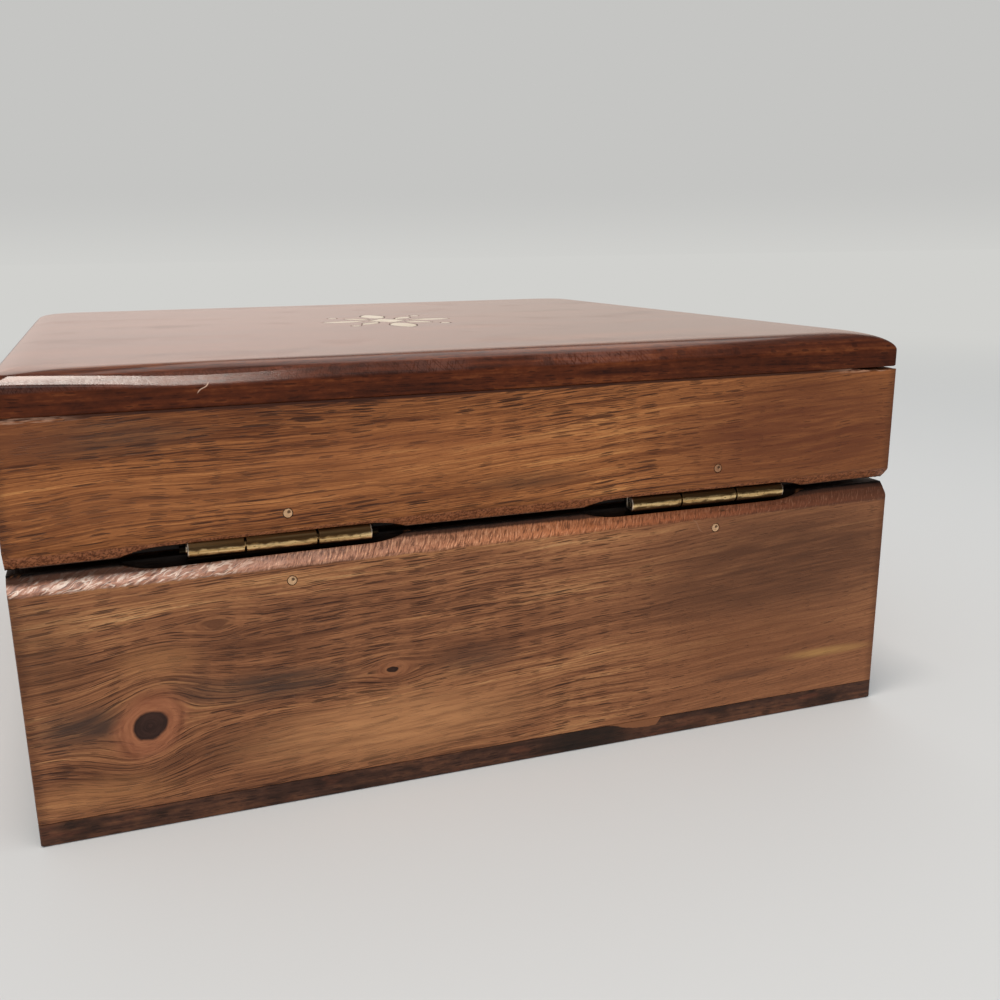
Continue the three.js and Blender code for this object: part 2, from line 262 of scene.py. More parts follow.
class Surface:
    """A material under construction: its node tree, its shader, its place fields in mm, and its
    colour so far."""

    def __init__(self, name):
        self.material = bpy.data.materials.new(name)
        self.material.use_nodes = True
        self.tree = self.material.node_tree
        self.shader = self.tree.nodes["Principled BSDF"]
        place = self.tree.nodes.new("ShaderNodeTexCoord")
        parts = self.tree.nodes.new("ShaderNodeSeparateXYZ")
        self.tree.links.new(place.outputs["Object"], parts.inputs[0])
        self.place = tuple(Field(self.tree, output) / MM for output in parts.outputs)
        self.x, self.y, self.z = self.place
        self.tint = None

    def vector(self, *fields):
        node = self.tree.nodes.new("ShaderNodeCombineXYZ")
        for place, value in enumerate(fields):
            connect(self.tree, value, node.inputs[place])
        return node.outputs[0]

    def noise(self, fields, sizes, seed, detail=2.0, roughness=0.5):
        """Smooth noise from 0 to 1. Its marks have these sizes along the fields, in mm."""
        node = self.tree.nodes.new("ShaderNodeTexNoise")
        node.noise_dimensions = "4D"
        node.inputs["W"].default_value = seed
        node.inputs["Scale"].default_value = 1.0
        node.inputs["Detail"].default_value = detail
        node.inputs["Roughness"].default_value = roughness
        scaled = [field / size for field, size in zip(fields, sizes)]
        self.tree.links.new(self.vector(*scaled), node.inputs["Vector"])
        return Field(self.tree, node.outputs["Fac"])

    def cells(self, fields, sizes, seed):
        """Distance from the nearest of a cloud of points, in units of how far apart they lie, and
        a number from 0 to 1 that each point has to itself. sizes are those distances in mm."""
        node = self.tree.nodes.new("ShaderNodeTexVoronoi")
        node.voronoi_dimensions = "2D"
        node.inputs["Scale"].default_value = 1.0
        scaled = [field / size + seed for field, size in zip(fields, sizes)]
        self.tree.links.new(self.vector(*scaled), node.inputs["Vector"])
        own = self.tree.nodes.new("ShaderNodeSeparateColor")
        self.tree.links.new(node.outputs["Color"], own.inputs[0])
        return Field(self.tree, node.outputs["Distance"]), Field(self.tree, own.outputs[0])

    def mix(self, amount, below, above):
        return mixed(self.tree, amount, below, above)

    def paint(self, amount, tint):
        """Lays a colour over the surface's own colour, by an amount from 0 to 1."""
        self.tint = self.mix(amount, self.tint, tint)

    def relief(self, height, scale):
        """Feeds a height field to the shader's normal. scale is the height of one unit in mm."""
        node = self.tree.nodes.new("ShaderNodeBump")
        node.inputs["Distance"].default_value = scale * MM
        connect(self.tree, height, node.inputs["Height"])
        self.tree.links.new(node.outputs[0], self.shader.inputs["Normal"])

    def set(self, **values):
        for name, value in values.items():
            socket = name.replace("_", " ").title().replace("Ior", "IOR")
            connect(self.tree, value, self.shader.inputs[socket])


# Wood

def near(run, rise, middle, half_size):
    """A soft patch: 1 at its middle and 0 beyond its edge."""
    along_part = (run - middle[0]) / half_size[0]
    across_part = (rise - middle[1]) / half_size[1]
    distance = (along_part * along_part + across_part * across_part).math("SQRT")
    return 1 - distance.between(0.2, 1.0)


def flow_round_knot(along, across, knot):
    """How far a knot pushes the grain off its line, and the distance to the knot's middle."""
    rise = across - knot["across"]
    run = (along - knot["along"]) / knot["stretch"] + rise * knot["tilt"]
    distance = (run * run + rise * rise).math("SQRT")
    near_part = distance / knot["reach"]
    squeeze = (near_part * near_part * -1.0).math("EXPONENT")
    return rise * squeeze, distance


WOOD = {
    "gold": colour(182, 124, 78),
    "line": colour(72, 38, 23),
    "pore": colour(54, 27, 16),
    "smoke": colour(78, 55, 44),
    # deep_shade is a painted shade, nearly black, for recesses, kerfs and the seam's gap
    "deep_shade": colour(13, 8, 6),
    "raw": colour(168, 122, 84),
}
WALL_TONES = {
    "base": (
        (0.0, colour(100, 60, 39)), (0.3, colour(132, 84, 55)), (0.52, colour(157, 102, 67)),
        (0.76, colour(186, 129, 84)), (1.0, colour(212, 160, 110))),
    "lid": (
        (0.0, colour(92, 47, 24)), (0.3, colour(126, 72, 38)), (0.52, colour(154, 94, 52)),
        (0.76, colour(180, 113, 64)), (1.0, colour(206, 140, 82))),
}
CONTRAST = {"base": 1.1, "lid": 1.3}

# Length and width of the dark dashes
LONG_PORE = {"base": (8.0, 0.4), "lid": (8.0, 0.56)}
SHORT_PORE = (4.2, 0.24)
BOARD_PORE = (3.4, 0.42)


def wood_grain(surface, place, knots, slope, seed):
    """The across field after the board's waves, its slope and its knots, and the knots' distances."""
    along, across, _ = place
    waves = surface.noise(place, (70, 30, 30), seed) * 5.0
    ripples = surface.noise(place, (14, 6, 6), seed + 1) * 0.9
    grain = across + along * slope + waves + ripples
    distances = []
    for knot in knots:
        push, distance = flow_round_knot(along, across, knot)
        distances.append(distance)
        grain = grain - push
    return grain, distances


def growth_lines(surface, here, spacing, seed):
    """Thin lines along the grain, each with one sharp edge, as a field from 0 to 1."""
    _, grain, depth = here
    drift = surface.noise(here, (60, 11, 20), seed) * (5.0 / spacing)
    wander = surface.noise(here, (13, 3, 6), seed + 1) * 0.5
    turn = (grain / spacing + depth / (4 * spacing) + drift + wander).math("FRACT")
    strength = surface.noise(here, (26, 1.6, 5), seed + 2).between(0.36, 0.58)
    return turn.between(0.76, 0.93) * (1 - turn.between(0.94, 0.99)) * strength


def dashes(surface, here, size, crowd, seed):
    """Dark dashes along the grain that taper at both ends. crowd, from 0 to 1, is how many."""
    along, grain, depth = here
    distance, own = surface.cells((along, grain + depth * 0.9), size, seed)
    reach = (own + crowd - 1).math("MAXIMUM", 0.0) * 0.46
    return 1 - distance.between(reach * 0.75, reach + 0.01)


def wood_layers(surface, here, seed, part, calm):
    """Paints plain wood, from broad bands down to pores, and gives its relief. calm is 1 where it
    is even."""
    band = surface.noise(here, (75, 8, 12), seed)
    streak = surface.noise(here, (24, 1.2, 3), seed + 2, detail=3.0, roughness=0.6)
    hair = surface.noise(here, (11, 0.2, 0.6), seed + 3, roughness=0.6)
    lively = (1 - calm * 0.5) * CONTRAST[part]
    tone = ((band - 0.5) * 1.2 + (streak - 0.5) * 1.3 + (hair - 0.5) * 1.1) * lively + 0.5
    surface.tint = tone.ramp(*WALL_TONES[part])
    zone = surface.noise(here, (40, 8, 14), seed + 4).between(0.36, 0.62)
    wide = growth_lines(surface, here, 1.6, seed + 20)
    tight = growth_lines(surface, here, 0.7, seed + 30)
    lines = wide.math("MAXIMUM", tight * 0.95) * (zone * 0.6 + 0.4) * (1 - calm * 0.4)
    surface.paint(lines, WOOD["line"])
    crowd = surface.noise(here, (20, 4, 8), seed + 5).between(0.34, 0.66) * 0.36 + 0.5
    crowd = crowd * (1 - calm * 0.55)
    long_pores = dashes(surface, here, LONG_PORE[part], crowd, seed + 6)
    short_pores = dashes(surface, here, SHORT_PORE, crowd + 0.06, seed + 7)
    pores = (long_pores * 0.95).math("MAXIMUM", short_pores * 0.8)
    surface.paint(pores * 0.85, WOOD["pore"])
    grit = surface.noise(here, (0.9, 0.22, 0.3), seed + 8, roughness=0.65)
    surface.paint((1 - grit.between(0.3, 0.62)) * 0.2, WOOD["line"])
    return grit * 0.3 + hair * 0.5 - pores * 1.3 - lines * 0.5


def dress_knot(surface, distance, knot, seed):
    """Paints a knot's core and its halo over the wood round it."""
    waver = surface.noise(surface.place, (3.4, 3.4, 3.4), seed, detail=3.0) - 0.5
    rings = (distance + waver * knot["waver"]) / knot["radius"]
    halo = 1 - rings.between(0.6, 1.05)
    outward = rings * knot["radius"], surface.x, surface.z
    fine = surface.noise(outward, (0.5, 4, 4), seed + 1, detail=3.0, roughness=0.7)
    ring_tint = surface.mix(fine.between(0.25, 0.75), knot["rim"], knot["pale"])
    arc = rings.between(0.62, 0.74) * (1 - rings.between(0.76, 0.9))
    broken = surface.noise(surface.place, (5, 5, 5), seed + 2).between(0.45, 0.6)
    ring_tint = surface.mix(arc * broken * 0.6, ring_tint, knot["arc"])
    surface.paint(halo * knot["strength"], ring_tint)
    core = 1 - rings.between(knot["core_share"] * 0.9, knot["core_share"] * 1.12)
    core_tint = surface.mix(fine.between(0.3, 0.7), knot["core"], knot["core_pale"])
    surface.paint(core * knot["core_strength"], core_tint)


def chamfer_place(surface, part):
    """A point's distance from the rim along Z, and how far out of the chamfer's face it lies."""
    drop = surface.x.between(*SEAM_SAG_RUN) * SEAM_SAG + surface.x.between(*SEAM_TILT_RUN) * SEAM_TILT
    height = surface.x * CHAMFER_LEAN + CHAMFER_HEIGHT[part]
    if part == "lid":
        from_rim = surface.z - LID_RIM + drop
        height = height + drop
    else:
        from_rim = RIM - surface.z - drop
        height = height - drop
    face = from_rim * CHAMFER_DEPTH / height + (HALF - CHAMFER_DEPTH)
    return from_rim, surface.y - face


def shaded_recesses(surface, part):
    """Painted shade, nearly black, in the recesses and kerfs of a back wall."""
    from_rim, outside = chamfer_place(surface, part)
    inside = 1 - outside.between(-0.44, -0.26)
    recess_top = RECESS_HEIGHT[part]
    inside = inside * (1 - from_rim.between(recess_top + 0.2, recess_top + 0.5))
    kerf_face = AXIS.y - BARREL_RADIUS - KERF_CLEARANCE
    mask = inside * surface.y.between(kerf_face - 0.25, kerf_face - 0.1)
    reach = HINGE_LENGTH / 2 + KERF_CLEARANCE + RECESS_RUN_OUT
    from_recess = [(surface.x - centre).math("ABSOLUTE") for centre in RECESS_X]
    nearest = from_recess[0].math("MINIMUM", from_recess[1])
    # Painted shade: the recess and kerf faces are painted nearly black.
    surface.paint(mask * (1 - nearest.between(reach - 0.4, reach + 0.4)) * 0.96, WOOD["deep_shade"])


def shaded_rim(surface, part):
    """Painted shade on the flat rim at the back, where the seam between base and lid gapes."""
    from_rim, _ = chamfer_place(surface, part)
    on_rim = 1 - from_rim.math("ABSOLUTE").between(0.06, 0.3)
    # Painted shade: the rim's outer part is painted nearly black.
    surface.paint(on_rim * surface.y.between(HALF - 7.0, HALF - 5.0) * 0.94, WOOD["deep_shade"])


def raw_inside(surface):
    """Paler, unvarnished wood on the faces inside the box."""
    out = surface.x.math("ABSOLUTE").math("MAXIMUM", surface.y.math("ABSOLUTE"))
    inside = 1 - out.between(INNER + 0.1, INNER + 0.8)
    surface.paint(inside * 0.45, WOOD["raw"])
    return inside


def strands(surface, place, seed):
    """Thin curved lines, like loose fibres. place is how far across and along them a point lies."""
    flow = surface.noise(place, (0.8, 4.5), seed, detail=1.0)
    patchy = surface.noise(place, (1.5, 3), seed + 1).between(0.4, 0.6)
    return (1 - (flow - 0.5).math("ABSOLUTE").between(0.008, 0.04)) * patchy


# Tones of the base's chamfer from -X to +X. The pale, pinkish ones towards +X also stand in for part of
# the sheen there.
TORN_TONES = (
    (0.0, colour(92, 52, 34)), (0.16, colour(114, 62, 38)), (0.3, colour(148, 84, 50)),
    (0.44, colour(188, 116, 74)), (0.52, colour(190, 124, 86)), (0.7, colour(184, 128, 100)),
    (0.96, colour(190, 126, 94)),
)


def torn_chamfer(surface, seed):
    """The base's rough chamfer: slanting fibres that shine towards +X with painted glints, upright
    and dull ones elsewhere, and painted shade under the lid's overhang, black along the rim."""
    x, _, z = surface.place
    from_rim, outside = chamfer_place(surface, "base")
    face = x, z
    fringe = surface.noise(face, (1.4, 2), seed + 10, detail=3.0) - 0.5
    cover = (outside + fringe * 0.5).between(-0.55, -0.2)
    slanted = x.between(30.0, 52.0)
    bend = surface.noise(face, (2.5, 1.5), seed + 4) * 1.2
    run = z * 0.4 - x * 0.92
    rise = x * 0.4 + z * 0.92 + bend
    slanting = surface.noise((rise, run), (0.42, 2.2), seed, detail=3.0, roughness=0.65)
    upright_place = x + z * 0.5 + bend * 0.5, z
    upright = surface.noise(upright_place, (0.3, 1.3), seed + 1, roughness=0.7)
    torn = slanting * slanted + upright * (1 - slanted)
    along = x / (2 * HALF) + 0.5
    fresh = along.ramp(*TORN_TONES)
    fresh = surface.mix((1 - torn.between(0.38, 0.52)) * 0.75, fresh, colour(92, 50, 28))
    # Painted highlights: pale glints on the torn fibres, and pale curved strands, strongest towards +X.
    highlight_tint = surface.mix(slanted, colour(240, 178, 138), colour(255, 228, 208))
    glint = torn.between(0.54, 0.64) * (along.between(0.2, 0.8) * 0.75 + 0.12)
    glinting_threads = strands(surface, (rise, run), seed + 6)
    glinting_threads = glinting_threads.math("MAXIMUM", strands(surface, (rise + 7, run), seed + 8)) * slanted
    fresh = surface.mix(glint.math("MAXIMUM", glinting_threads), fresh, highlight_tint)
    # Painted shade: the chamfer's upper part under the lid's overhang is painted dark, and black nearest
    # the rim.
    wander = surface.noise((x, from_rim), (6, 2), seed + 2) * 0.6
    ragged = surface.noise((x, from_rim), (0.5, 0.8), seed + 3) * 0.3
    depth = from_rim - wander - ragged
    shade = 1 - depth.between(slanted * 0.3 + 0.15, slanted * 0.5 + 0.55)
    fresh = surface.mix(shade * 0.94, fresh, colour(62, 36, 25))
    black = 1 - depth.between(-0.4, 0.05)
    fresh = surface.mix(black * 0.9, fresh, colour(14, 9, 8))
    shine = cover * (1 - shade) * (x.between(0.0, 62.0) * 0.75 + 0.05)
    surface.paint(cover * 0.97, fresh)
    return (torn + glinting_threads * 0.5) * cover, shine


def stippled_chamfer(surface, seed):
    """The lid's chamfer: end grain in fine specks along the rim, with a painted pale highlight at its
    edge.
    """
    x, _, z = surface.place
    from_rim, outside = chamfer_place(surface, "lid")
    face = x, z
    ragged = surface.noise((x, from_rim), (1.2, 0.6), seed)
    band = outside.between(-0.24, -0.1) * (1 - (from_rim + ragged).between(2.2, 2.6))
    speck_place = x + z * 0.4, z
    speck = surface.noise(speck_place, (0.4, 0.34), seed + 1, detail=3.0, roughness=0.75)
    blotch = surface.noise(face, (1.6, 0.5), seed + 3, roughness=0.6)
    tone = (speck * 0.6 + blotch * 0.4).between(0.42, 0.56)
    fresh = surface.mix(tone, colour(94, 46, 22), colour(174, 108, 70))
    from_pit, _ = surface.cells(face, (0.8, 0.6), seed)
    pits = (1 - from_pit.between(0.14, 0.26)) * blotch.between(0.4, 0.55)
    fresh = surface.mix(pits * 0.8, fresh, colour(70, 33, 16))
    # Painted highlight: a thin pale line along the chamfer's edge at the rim.
    edge_highlight = (1 - from_rim.between(0.08, 0.32)) * ragged.between(0.3, 0.55)
    fresh = surface.mix(edge_highlight * 0.75, fresh, colour(178, 142, 122))
    surface.paint(band * 0.85, fresh)
    return speck * band, band * 0.08


CHAMFER_FINISH = {"base": torn_chamfer, "lid": stippled_chamfer}
CHAMFER_SEEDS = {"base": 23.0, "lid": 35.0}


def seam_with_board(surface, seed):
    """A dark band along the top of the lid's back wall, just under the board's edge, and a thin
    ragged pale line at its foot near the corners."""
    x, y, z = surface.place
    ragged = surface.noise((x, z, y), (2.5, 0.4, 1), seed, detail=3.0)
    run_end = LID_HIGH.z - DARK_BAND_DEPTH
    # Darker colour in a band along the wall's top, just under the board's edge.
    run = (z + ragged * 0.12).between(run_end, run_end + 0.12)
    run = run * y.between(HALF - 0.3, HALF - 0.1)
    surface.paint(run * 0.92, colour(62, 31, 20))
    line = (z + ragged * 0.5 + DARK_BAND_DEPTH).between(LID_HIGH.z - 0.12, LID_HIGH.z)
    places = (1 - x.between(-68.0, -58.0)).math("MAXIMUM", x.between(62.0, 68.0))
    cover = line * places * ragged.between(0.42, 0.55) * y.between(HALF - 1.5, HALF - 1.0)
    surface.paint(cover * 0.45, colour(206, 160, 132))


def scratched(surface, scratch):
    """A thin bent scratch between two places on the back of the box."""
    x, y, z = surface.place
    (start_x, start_z), (end_x, end_z) = scratch["start"], scratch["end"]
    length = math.dist(scratch["start"], scratch["end"])
    run_x, run_z = (end_x - start_x) / length, (end_z - start_z) / length
    along = ((x - start_x) * run_x + (z - start_z) * run_z) / length
    across = (z - start_z) * run_x - (x - start_x) * run_z
    bend = (along * (2 * math.pi)).math("SINE") * scratch["width"]
    line = 1 - (across + bend).math("ABSOLUTE").between(scratch["width"] * 0.3, scratch["width"])
    line = line * along.between(-0.1, 0.15) * (1 - along.between(0.8, 1.1))
    on_back = y.between(HALF - 1.5, HALF - 1.0)
    surface.paint(line * on_back * scratch["strength"], scratch["tint"])


def shaded_corners(surface):
    """Painted shade: darker wood along the upright corners."""
    reach_x, reach_y = surface.x.math("ABSOLUTE"), surface.y.math("ABSOLUTE")
    corner = reach_x.math("MINIMUM", reach_y).between(HALF - 2.2, HALF - 0.1)
    # Painted shade along the corners.
    surface.paint(corner * 0.45, WOOD["line"])


def patched(surface, here, patches, seed):
    """Soft patches of another tone, broken up along the grain."""
    run, grain, _ = here
    broken = surface.noise((run, grain), (12, 0.9), seed).between(0.3, 0.65) * 0.5 + 0.5
    for middle, half_size, tint, strength in patches:
        surface.paint(near(run, surface.z, middle, half_size) * broken * strength, tint)


def wood(name, along, slope, seed, part, knots=(), patches=(), calm_run=None, hinged=False):
    """A satin wood for one wall. along names the axis of the wall's length, and Z is across it."""
    surface = Surface(name)
    run, depth = (surface.x, surface.y) if along == "x" else (surface.y, surface.x)
    grain, distances = wood_grain(surface, (run, surface.z, depth), knots, slope, seed)
    here = run, grain, depth
    calm = 1 - run.between(*calm_run) if calm_run else run * 0.0
    height = wood_layers(surface, here, seed, part, calm)
    if patches:
        patched(surface, here, patches, seed + 8)
    for knot, distance in zip(knots, distances):
        dress_knot(surface, distance, knot, seed + 9)
    shaded_corners(surface)
    torn, shine = CHAMFER_FINISH[part](surface, CHAMFER_SEEDS[part])
    height = height + torn * 3.5
    if hinged:
        shaded_recesses(surface, part)
        if part == "lid":
            seam_with_board(surface, seed + 15)
        else:
            scratched(surface, WALL_SCRATCH)
    inside = raw_inside(surface)
    shaded_rim(surface, part)
    surface.set(
        base_color=surface.tint, roughness=inside * 0.2 + height * 0.06 + 0.48, specular_ior_level=0.2,
        coat_weight=shine, coat_roughness=0.38, coat_ior=1.8)
    surface.relief(height, 0.05)
    return surface.material


BIG_KNOT = {
    "along": 57.8, "across": 16.9, "stretch": 1.0, "tilt": 0.25,
    "reach": 7.6, "radius": 6.2, "waver": 1.6,
    "core_share": 0.39, "core": colour(44, 25, 19), "core_pale": colour(64, 40, 32),
    "core_strength": 1.0, "rim": colour(142, 84, 57), "pale": colour(176, 112, 77),
    "arc": colour(104, 54, 34), "strength": 0.9,
}
SMALL_KNOT = {
    "along": 20.1, "across": 20.3, "stretch": 2.0, "tilt": 0.0,
    "reach": 2.2, "radius": 1.9, "waver": 1.0,
    "core_share": 0.24, "core": colour(26, 13, 9), "core_pale": colour(60, 34, 22),
    "core_strength": 0.95, "rim": colour(132, 78, 50), "pale": colour(172, 114, 76),
    "arc": colour(104, 58, 38), "strength": 0.7,
}
SWIRL = {
    "along": 47.7, "across": 31.6, "stretch": 2.6, "tilt": 0.0,
    "reach": 2.0, "radius": 1.5, "waver": 1.4,
    "core_share": 0.5, "core": colour(96, 54, 36), "core_pale": colour(112, 66, 46),
    "core_strength": 0.3, "rim": colour(124, 78, 50), "pale": colour(148, 98, 64),
    "arc": colour(104, 58, 38), "strength": 0.5,
}
# Patches of another tone on the back walls: middle, half size, tint and strength
BASE_PATCHES = (
    ((67, 18), (10, 5), WOOD["smoke"], 1.0),
    ((72, 30), (10, 12), colour(112, 72, 46), 0.6),
    ((56, 27), (9, 3.4), WOOD["gold"], 0.6),
    ((39, 20.6), (17, 3.8), WOOD["smoke"], 1.0),
    ((51, 22), (5, 4), WOOD["smoke"], 0.5),
    ((6, 20), (10, 4), WOOD["smoke"], 0.6),
    ((20, 10.5), (34, 8), colour(198, 139, 92), 0.9),
    ((66, 7), (16, 4), WOOD["gold"], 0.6),
    ((50, 36), (14, 3), WOOD["gold"], 0.2),
    ((-54, 30), (44, 16), colour(94, 58, 38), 0.95),
    ((-48, 16), (34, 8), colour(124, 76, 48), 0.75),
    ((-64, 11.2), (13, 1.3), colour(186, 138, 82), 0.9),
    ((-46, 9.2), (11, 1.2), colour(92, 58, 42), 0.7),
)
LID_PATCHES = (
    ((62, 61), (22, 4), WOOD["smoke"], 0.7),
    ((25, 53), (34, 6), colour(164, 102, 60), 0.4),
    ((60, 51), (22, 5), colour(158, 98, 58), 0.4),
    ((74, 62), (16, 6), colour(124, 70, 40), 0.8),
    ((-4, 49.5), (14, 2), colour(104, 66, 42), 0.8),
    ((-56, 54), (42, 14), colour(108, 57, 33), 0.95),
    ((10, 57), (46, 5), colour(150, 88, 52), 0.4),
)
WALL_SCRATCH = {
    "start": (-34.2, 39.8), "end": (-36.1, 37.5), "width": 0.16,
    "strength": 0.6, "tint": colour(156, 112, 84),
}
EDGE_SCRATCH = {
    "start": (46.9, 66.5), "end": (45.3, 67.8), "width": 0.1,
    "strength": 0.7, "tint": colour(240, 204, 178),
}

BOTTOM_TINTS = colour(44, 29, 24), colour(74, 49, 39), colour(126, 82, 58)
TOP_TINTS = colour(46, 18, 9), colour(92, 42, 19), colour(144, 80, 42)


def stained_edge(surface, seed):
    """The bottom board's blackish blots, and the pale sapwood that dips into its back edge."""
    x, y, z = surface.place
    blots = surface.noise(surface.place, (8, 8, 3), seed)
    surface.paint(blots.between(0.52, 0.7) * 0.6, colour(34, 26, 23))
    warm = surface.noise(surface.place, (6, 6, 2), seed + 1, detail=3.0)
    surface.paint(warm.between(0.55, 0.72) * 0.6, colour(112, 66, 48))
    ragged = surface.noise((x, y), (1.6, 3), seed + 2, detail=3.0) * 0.8
    on_back = y.between(HALF - 1.5, HALF - 0.5)
    black = near(x, z, (-15.0, WALL_LOW.z / 2), (14.0, WALL_LOW.z))
    surface.paint(black * on_back * 0.85, colour(38, 31, 27))
    depth = (1 - x.between(-25.0, -16.0)) * x.between(-29.6, -27.8) * DIP_DEPTH
    line = WALL_LOW.z + 0.75 - depth
    dip = (z + ragged).between(line, line + 0.2) * on_back
    surface.paint(dip * 0.85, colour(148, 96, 64))


def board_wood(name, seed, tints, gloss, worn_edge=False):
    """A board with its grain along X. gloss is the share of a clear varnish over it."""
    surface = Surface(name)
    dark, mid, light = tints
    grain = surface.y + surface.noise(surface.place, (80, 40, 40), seed) * 8.0
    here = surface.x, grain, surface.z
    band = surface.noise(here, (110, 9, 9), seed + 1, detail=3.0, roughness=0.55)
    streak = surface.noise(here, (26, 1.1, 0.9), seed + 2, detail=4.0, roughness=0.65)
    mottle = surface.noise(here, (2.6, 1.2, 1.2), seed + 3, detail=3.0, roughness=0.7)
    tone = (band - 0.5) * 1.4 + (streak - 0.5) * 1.3 + (mottle - 0.5) * 0.7 + 0.5
    surface.tint = tone.ramp((0.1, dark), (0.5, mid), (0.95, light))
    pores = dashes(surface, here, BOARD_PORE, mottle * 0.5 + 0.5, seed + 4)
    surface.paint(pores * 0.6, dark)
    coat = gloss
    height = streak * 0.6 + mottle * 0.4 - pores * 0.8
    if worn_edge:
        coat, height = rubbed_edge(surface, gloss, height, seed + 5)
    else:
        stained_edge(surface, seed + 5)
    surface.set(
        base_color=surface.tint, roughness=0.5, specular_ior_level=0.12,
        coat_weight=coat, coat_roughness=0.13, coat_ior=1.34)
    surface.relief(height, 0.03)
    return surface.material


def rubbed_edge(surface, gloss, height, seed):
    """The top board's edge: thin varnish below the rounding, and fine cross scratches on it that are
    tinted pale as a painted, broken highlight. Towards -X the coat is duller and the colour darker."""
    x, y, z = surface.place
    edge_low = TOP - BOARD_EDGE_DROP
    upright = 1 - z.between(edge_low + 0.3, edge_low + 0.75)
    rounding = (1 - upright) * (1 - z.between(TOP - 1.3, TOP - 0.8))
    smudge = surface.noise((x, y), (18, 18), seed, detail=3.0).between(0.5, 0.75)
    scratch = surface.noise((x + z * 0.5, z, y), (0.22, 2, 3), seed + 1, roughness=0.7)
    cross = surface.noise((x - z * 0.7, z, y), (0.26, 1.6, 3), seed + 2, roughness=0.7)
    worn = (1 - x.between(10.0, 48.0)) * 0.4 + 0.5
    worn = worn * (x.between(-50.0, -5.0) * 0.9 + 0.1)
    hatch = scratch.math("MINIMUM", cross).between(0.36, 0.52) * rounding * worn
    dull = (1 - x.between(-70.0, -10.0)) * (1 - z.between(TOP - 1.0, TOP - 0.3)) * 0.8
    coat = (1 - upright * 0.95) * (1 - smudge * 0.12) * (1 - hatch * 0.8) * (1 - dull) * gloss
    # Painted highlight: the scratches are tinted pale and pinkish in patches, where the highlight breaks
    # up.
    patchy = surface.noise((x, y), (16, 16), seed + 3).between(0.35, 0.6)
    surface.paint(hatch * patchy * 0.5, colour(136, 92, 80))
    # Darker colour towards -X, less so on the upright face.
    darker = (1 - x.between(-65.0, -10.0)) * (1 - upright * 0.5)
    surface.paint(darker * 0.4, TOP_TINTS[0])
    scratched(surface, EDGE_SCRATCH)
    return coat, height * 0.3 + hatch * 0.5


# Metal and inlay

def past_barrel(surface):
    """How far along X a point lies past the end of the nearer barrel, in mm."""
    past_ends = []
    for side, middle in HINGES.items():
        half_length = HINGE_LENGTH / 2 - KNUCKLE_TRIM[side]
        past_ends.append((surface.x - middle).math("ABSOLUTE") - half_length)
    return past_ends[0].math("MINIMUM", past_ends[1])


def hinge_brass(name, seed):
    """Old brass with dark blots and specks. Painted light on it: a pale highlight band along the
    barrel, shade above and below the band and black beneath, highlights at its ends, black past them.
    """
    surface = Surface(name)
    x, _, z = surface.place
    drawn = surface.noise(surface.place, (9, 0.3, 0.3), seed, detail=3.0)
    blots = surface.noise(surface.place, (1.8, 0.8, 0.8), seed + 1, detail=4.0)
    speck = surface.noise(surface.place, (0.5, 0.4, 0.4), seed + 2)
    # Painted highlight and shade: the pale brass stays only along a band on the barrel, and away from it
    # is painted dark as shade, together with real blots and specks.
    band = (1 - x.between(-20.0, 20.0)) * 0.3 + (AXIS.z - 0.38)
    off_highlight = (z - band).math("ABSOLUTE") + (blots - 0.5) * 1.3
    shade_and_grime = off_highlight.between(0.12, 0.55).math("MAXIMUM", blots.between(0.56, 0.72) * 0.8)
    shade_and_grime = shade_and_grime.math("MAXIMUM", speck.between(0.56, 0.68) * 0.6)
    surface.tint = surface.mix(drawn.between(0.3, 0.7), colour(182, 140, 84), colour(244, 212, 156))
    surface.paint(shade_and_grime * 0.92, colour(72, 48, 28))
    # Painted shade: the barrel's lower part is painted nearly black.
    shaded_underside = 1 - z.between(AXIS.z - 1.15, AXIS.z - 0.8)
    surface.paint(shaded_underside * 0.85, colour(18, 12, 9))
    # Painted highlights at the barrel's ends, and painted shade, black, past them in the recess.
    past = past_barrel(surface)
    end_highlight = 1 - past.math("ABSOLUTE").between(0.08, 0.25)
    end_highlight = end_highlight * z.between(AXIS.z - 1.0, AXIS.z - 0.6)
    surface.paint(end_highlight * 0.45, colour(250, 238, 222))
    surface.paint(past.between(0.1, 0.25) * 0.97, colour(10, 8, 7))
    surface.set(base_color=surface.tint, metallic=1.0, roughness=shade_and_grime * 0.18 + 0.3)
    surface.relief(drawn + blots * 0.6, 0.03)
    return surface.material


def pin_brass(name, seed):
    """The pale cut end of a brass pin, with painted shade in its pit."""
    surface = Surface(name)
    x, y, z = surface.place
    blots = surface.noise(surface.place, (0.5, 0.5, 0.5), seed, detail=3.0)
    pit = 1 - y.between(HALF - 0.16, HALF - 0.04)
    surface.tint = surface.mix(blots, colour(198, 152, 110), colour(230, 188, 146))
    stained = (1 - x.between(-20.0, 20.0)) * z.between(AXIS.z, AXIS.z + 2.0)
    surface.paint(stained * 0.7, colour(142, 88, 56))
    # Painted shade in the pit.
    surface.paint(pit * 0.85, colour(70, 44, 20))
    surface.set(base_color=surface.tint, metallic=0.3, roughness=0.42)
    surface.relief(blots, 0.04)
    return surface.material


def pale_resin(name, seed):
    """The inlay's clouded, cream-coloured filling."""
    surface = Surface(name)
    cloud = surface.noise(surface.place, (5, 3, 3), seed, detail=3.0)
    surface.tint = surface.mix(cloud.between(0.3, 0.7), colour(214, 203, 176), colour(236, 228, 208))
    surface.set(base_color=surface.tint, roughness=0.35, coat_weight=0.4, coat_roughness=0.15)
    surface.relief(cloud, 0.03)
    return surface.material


# Meshes

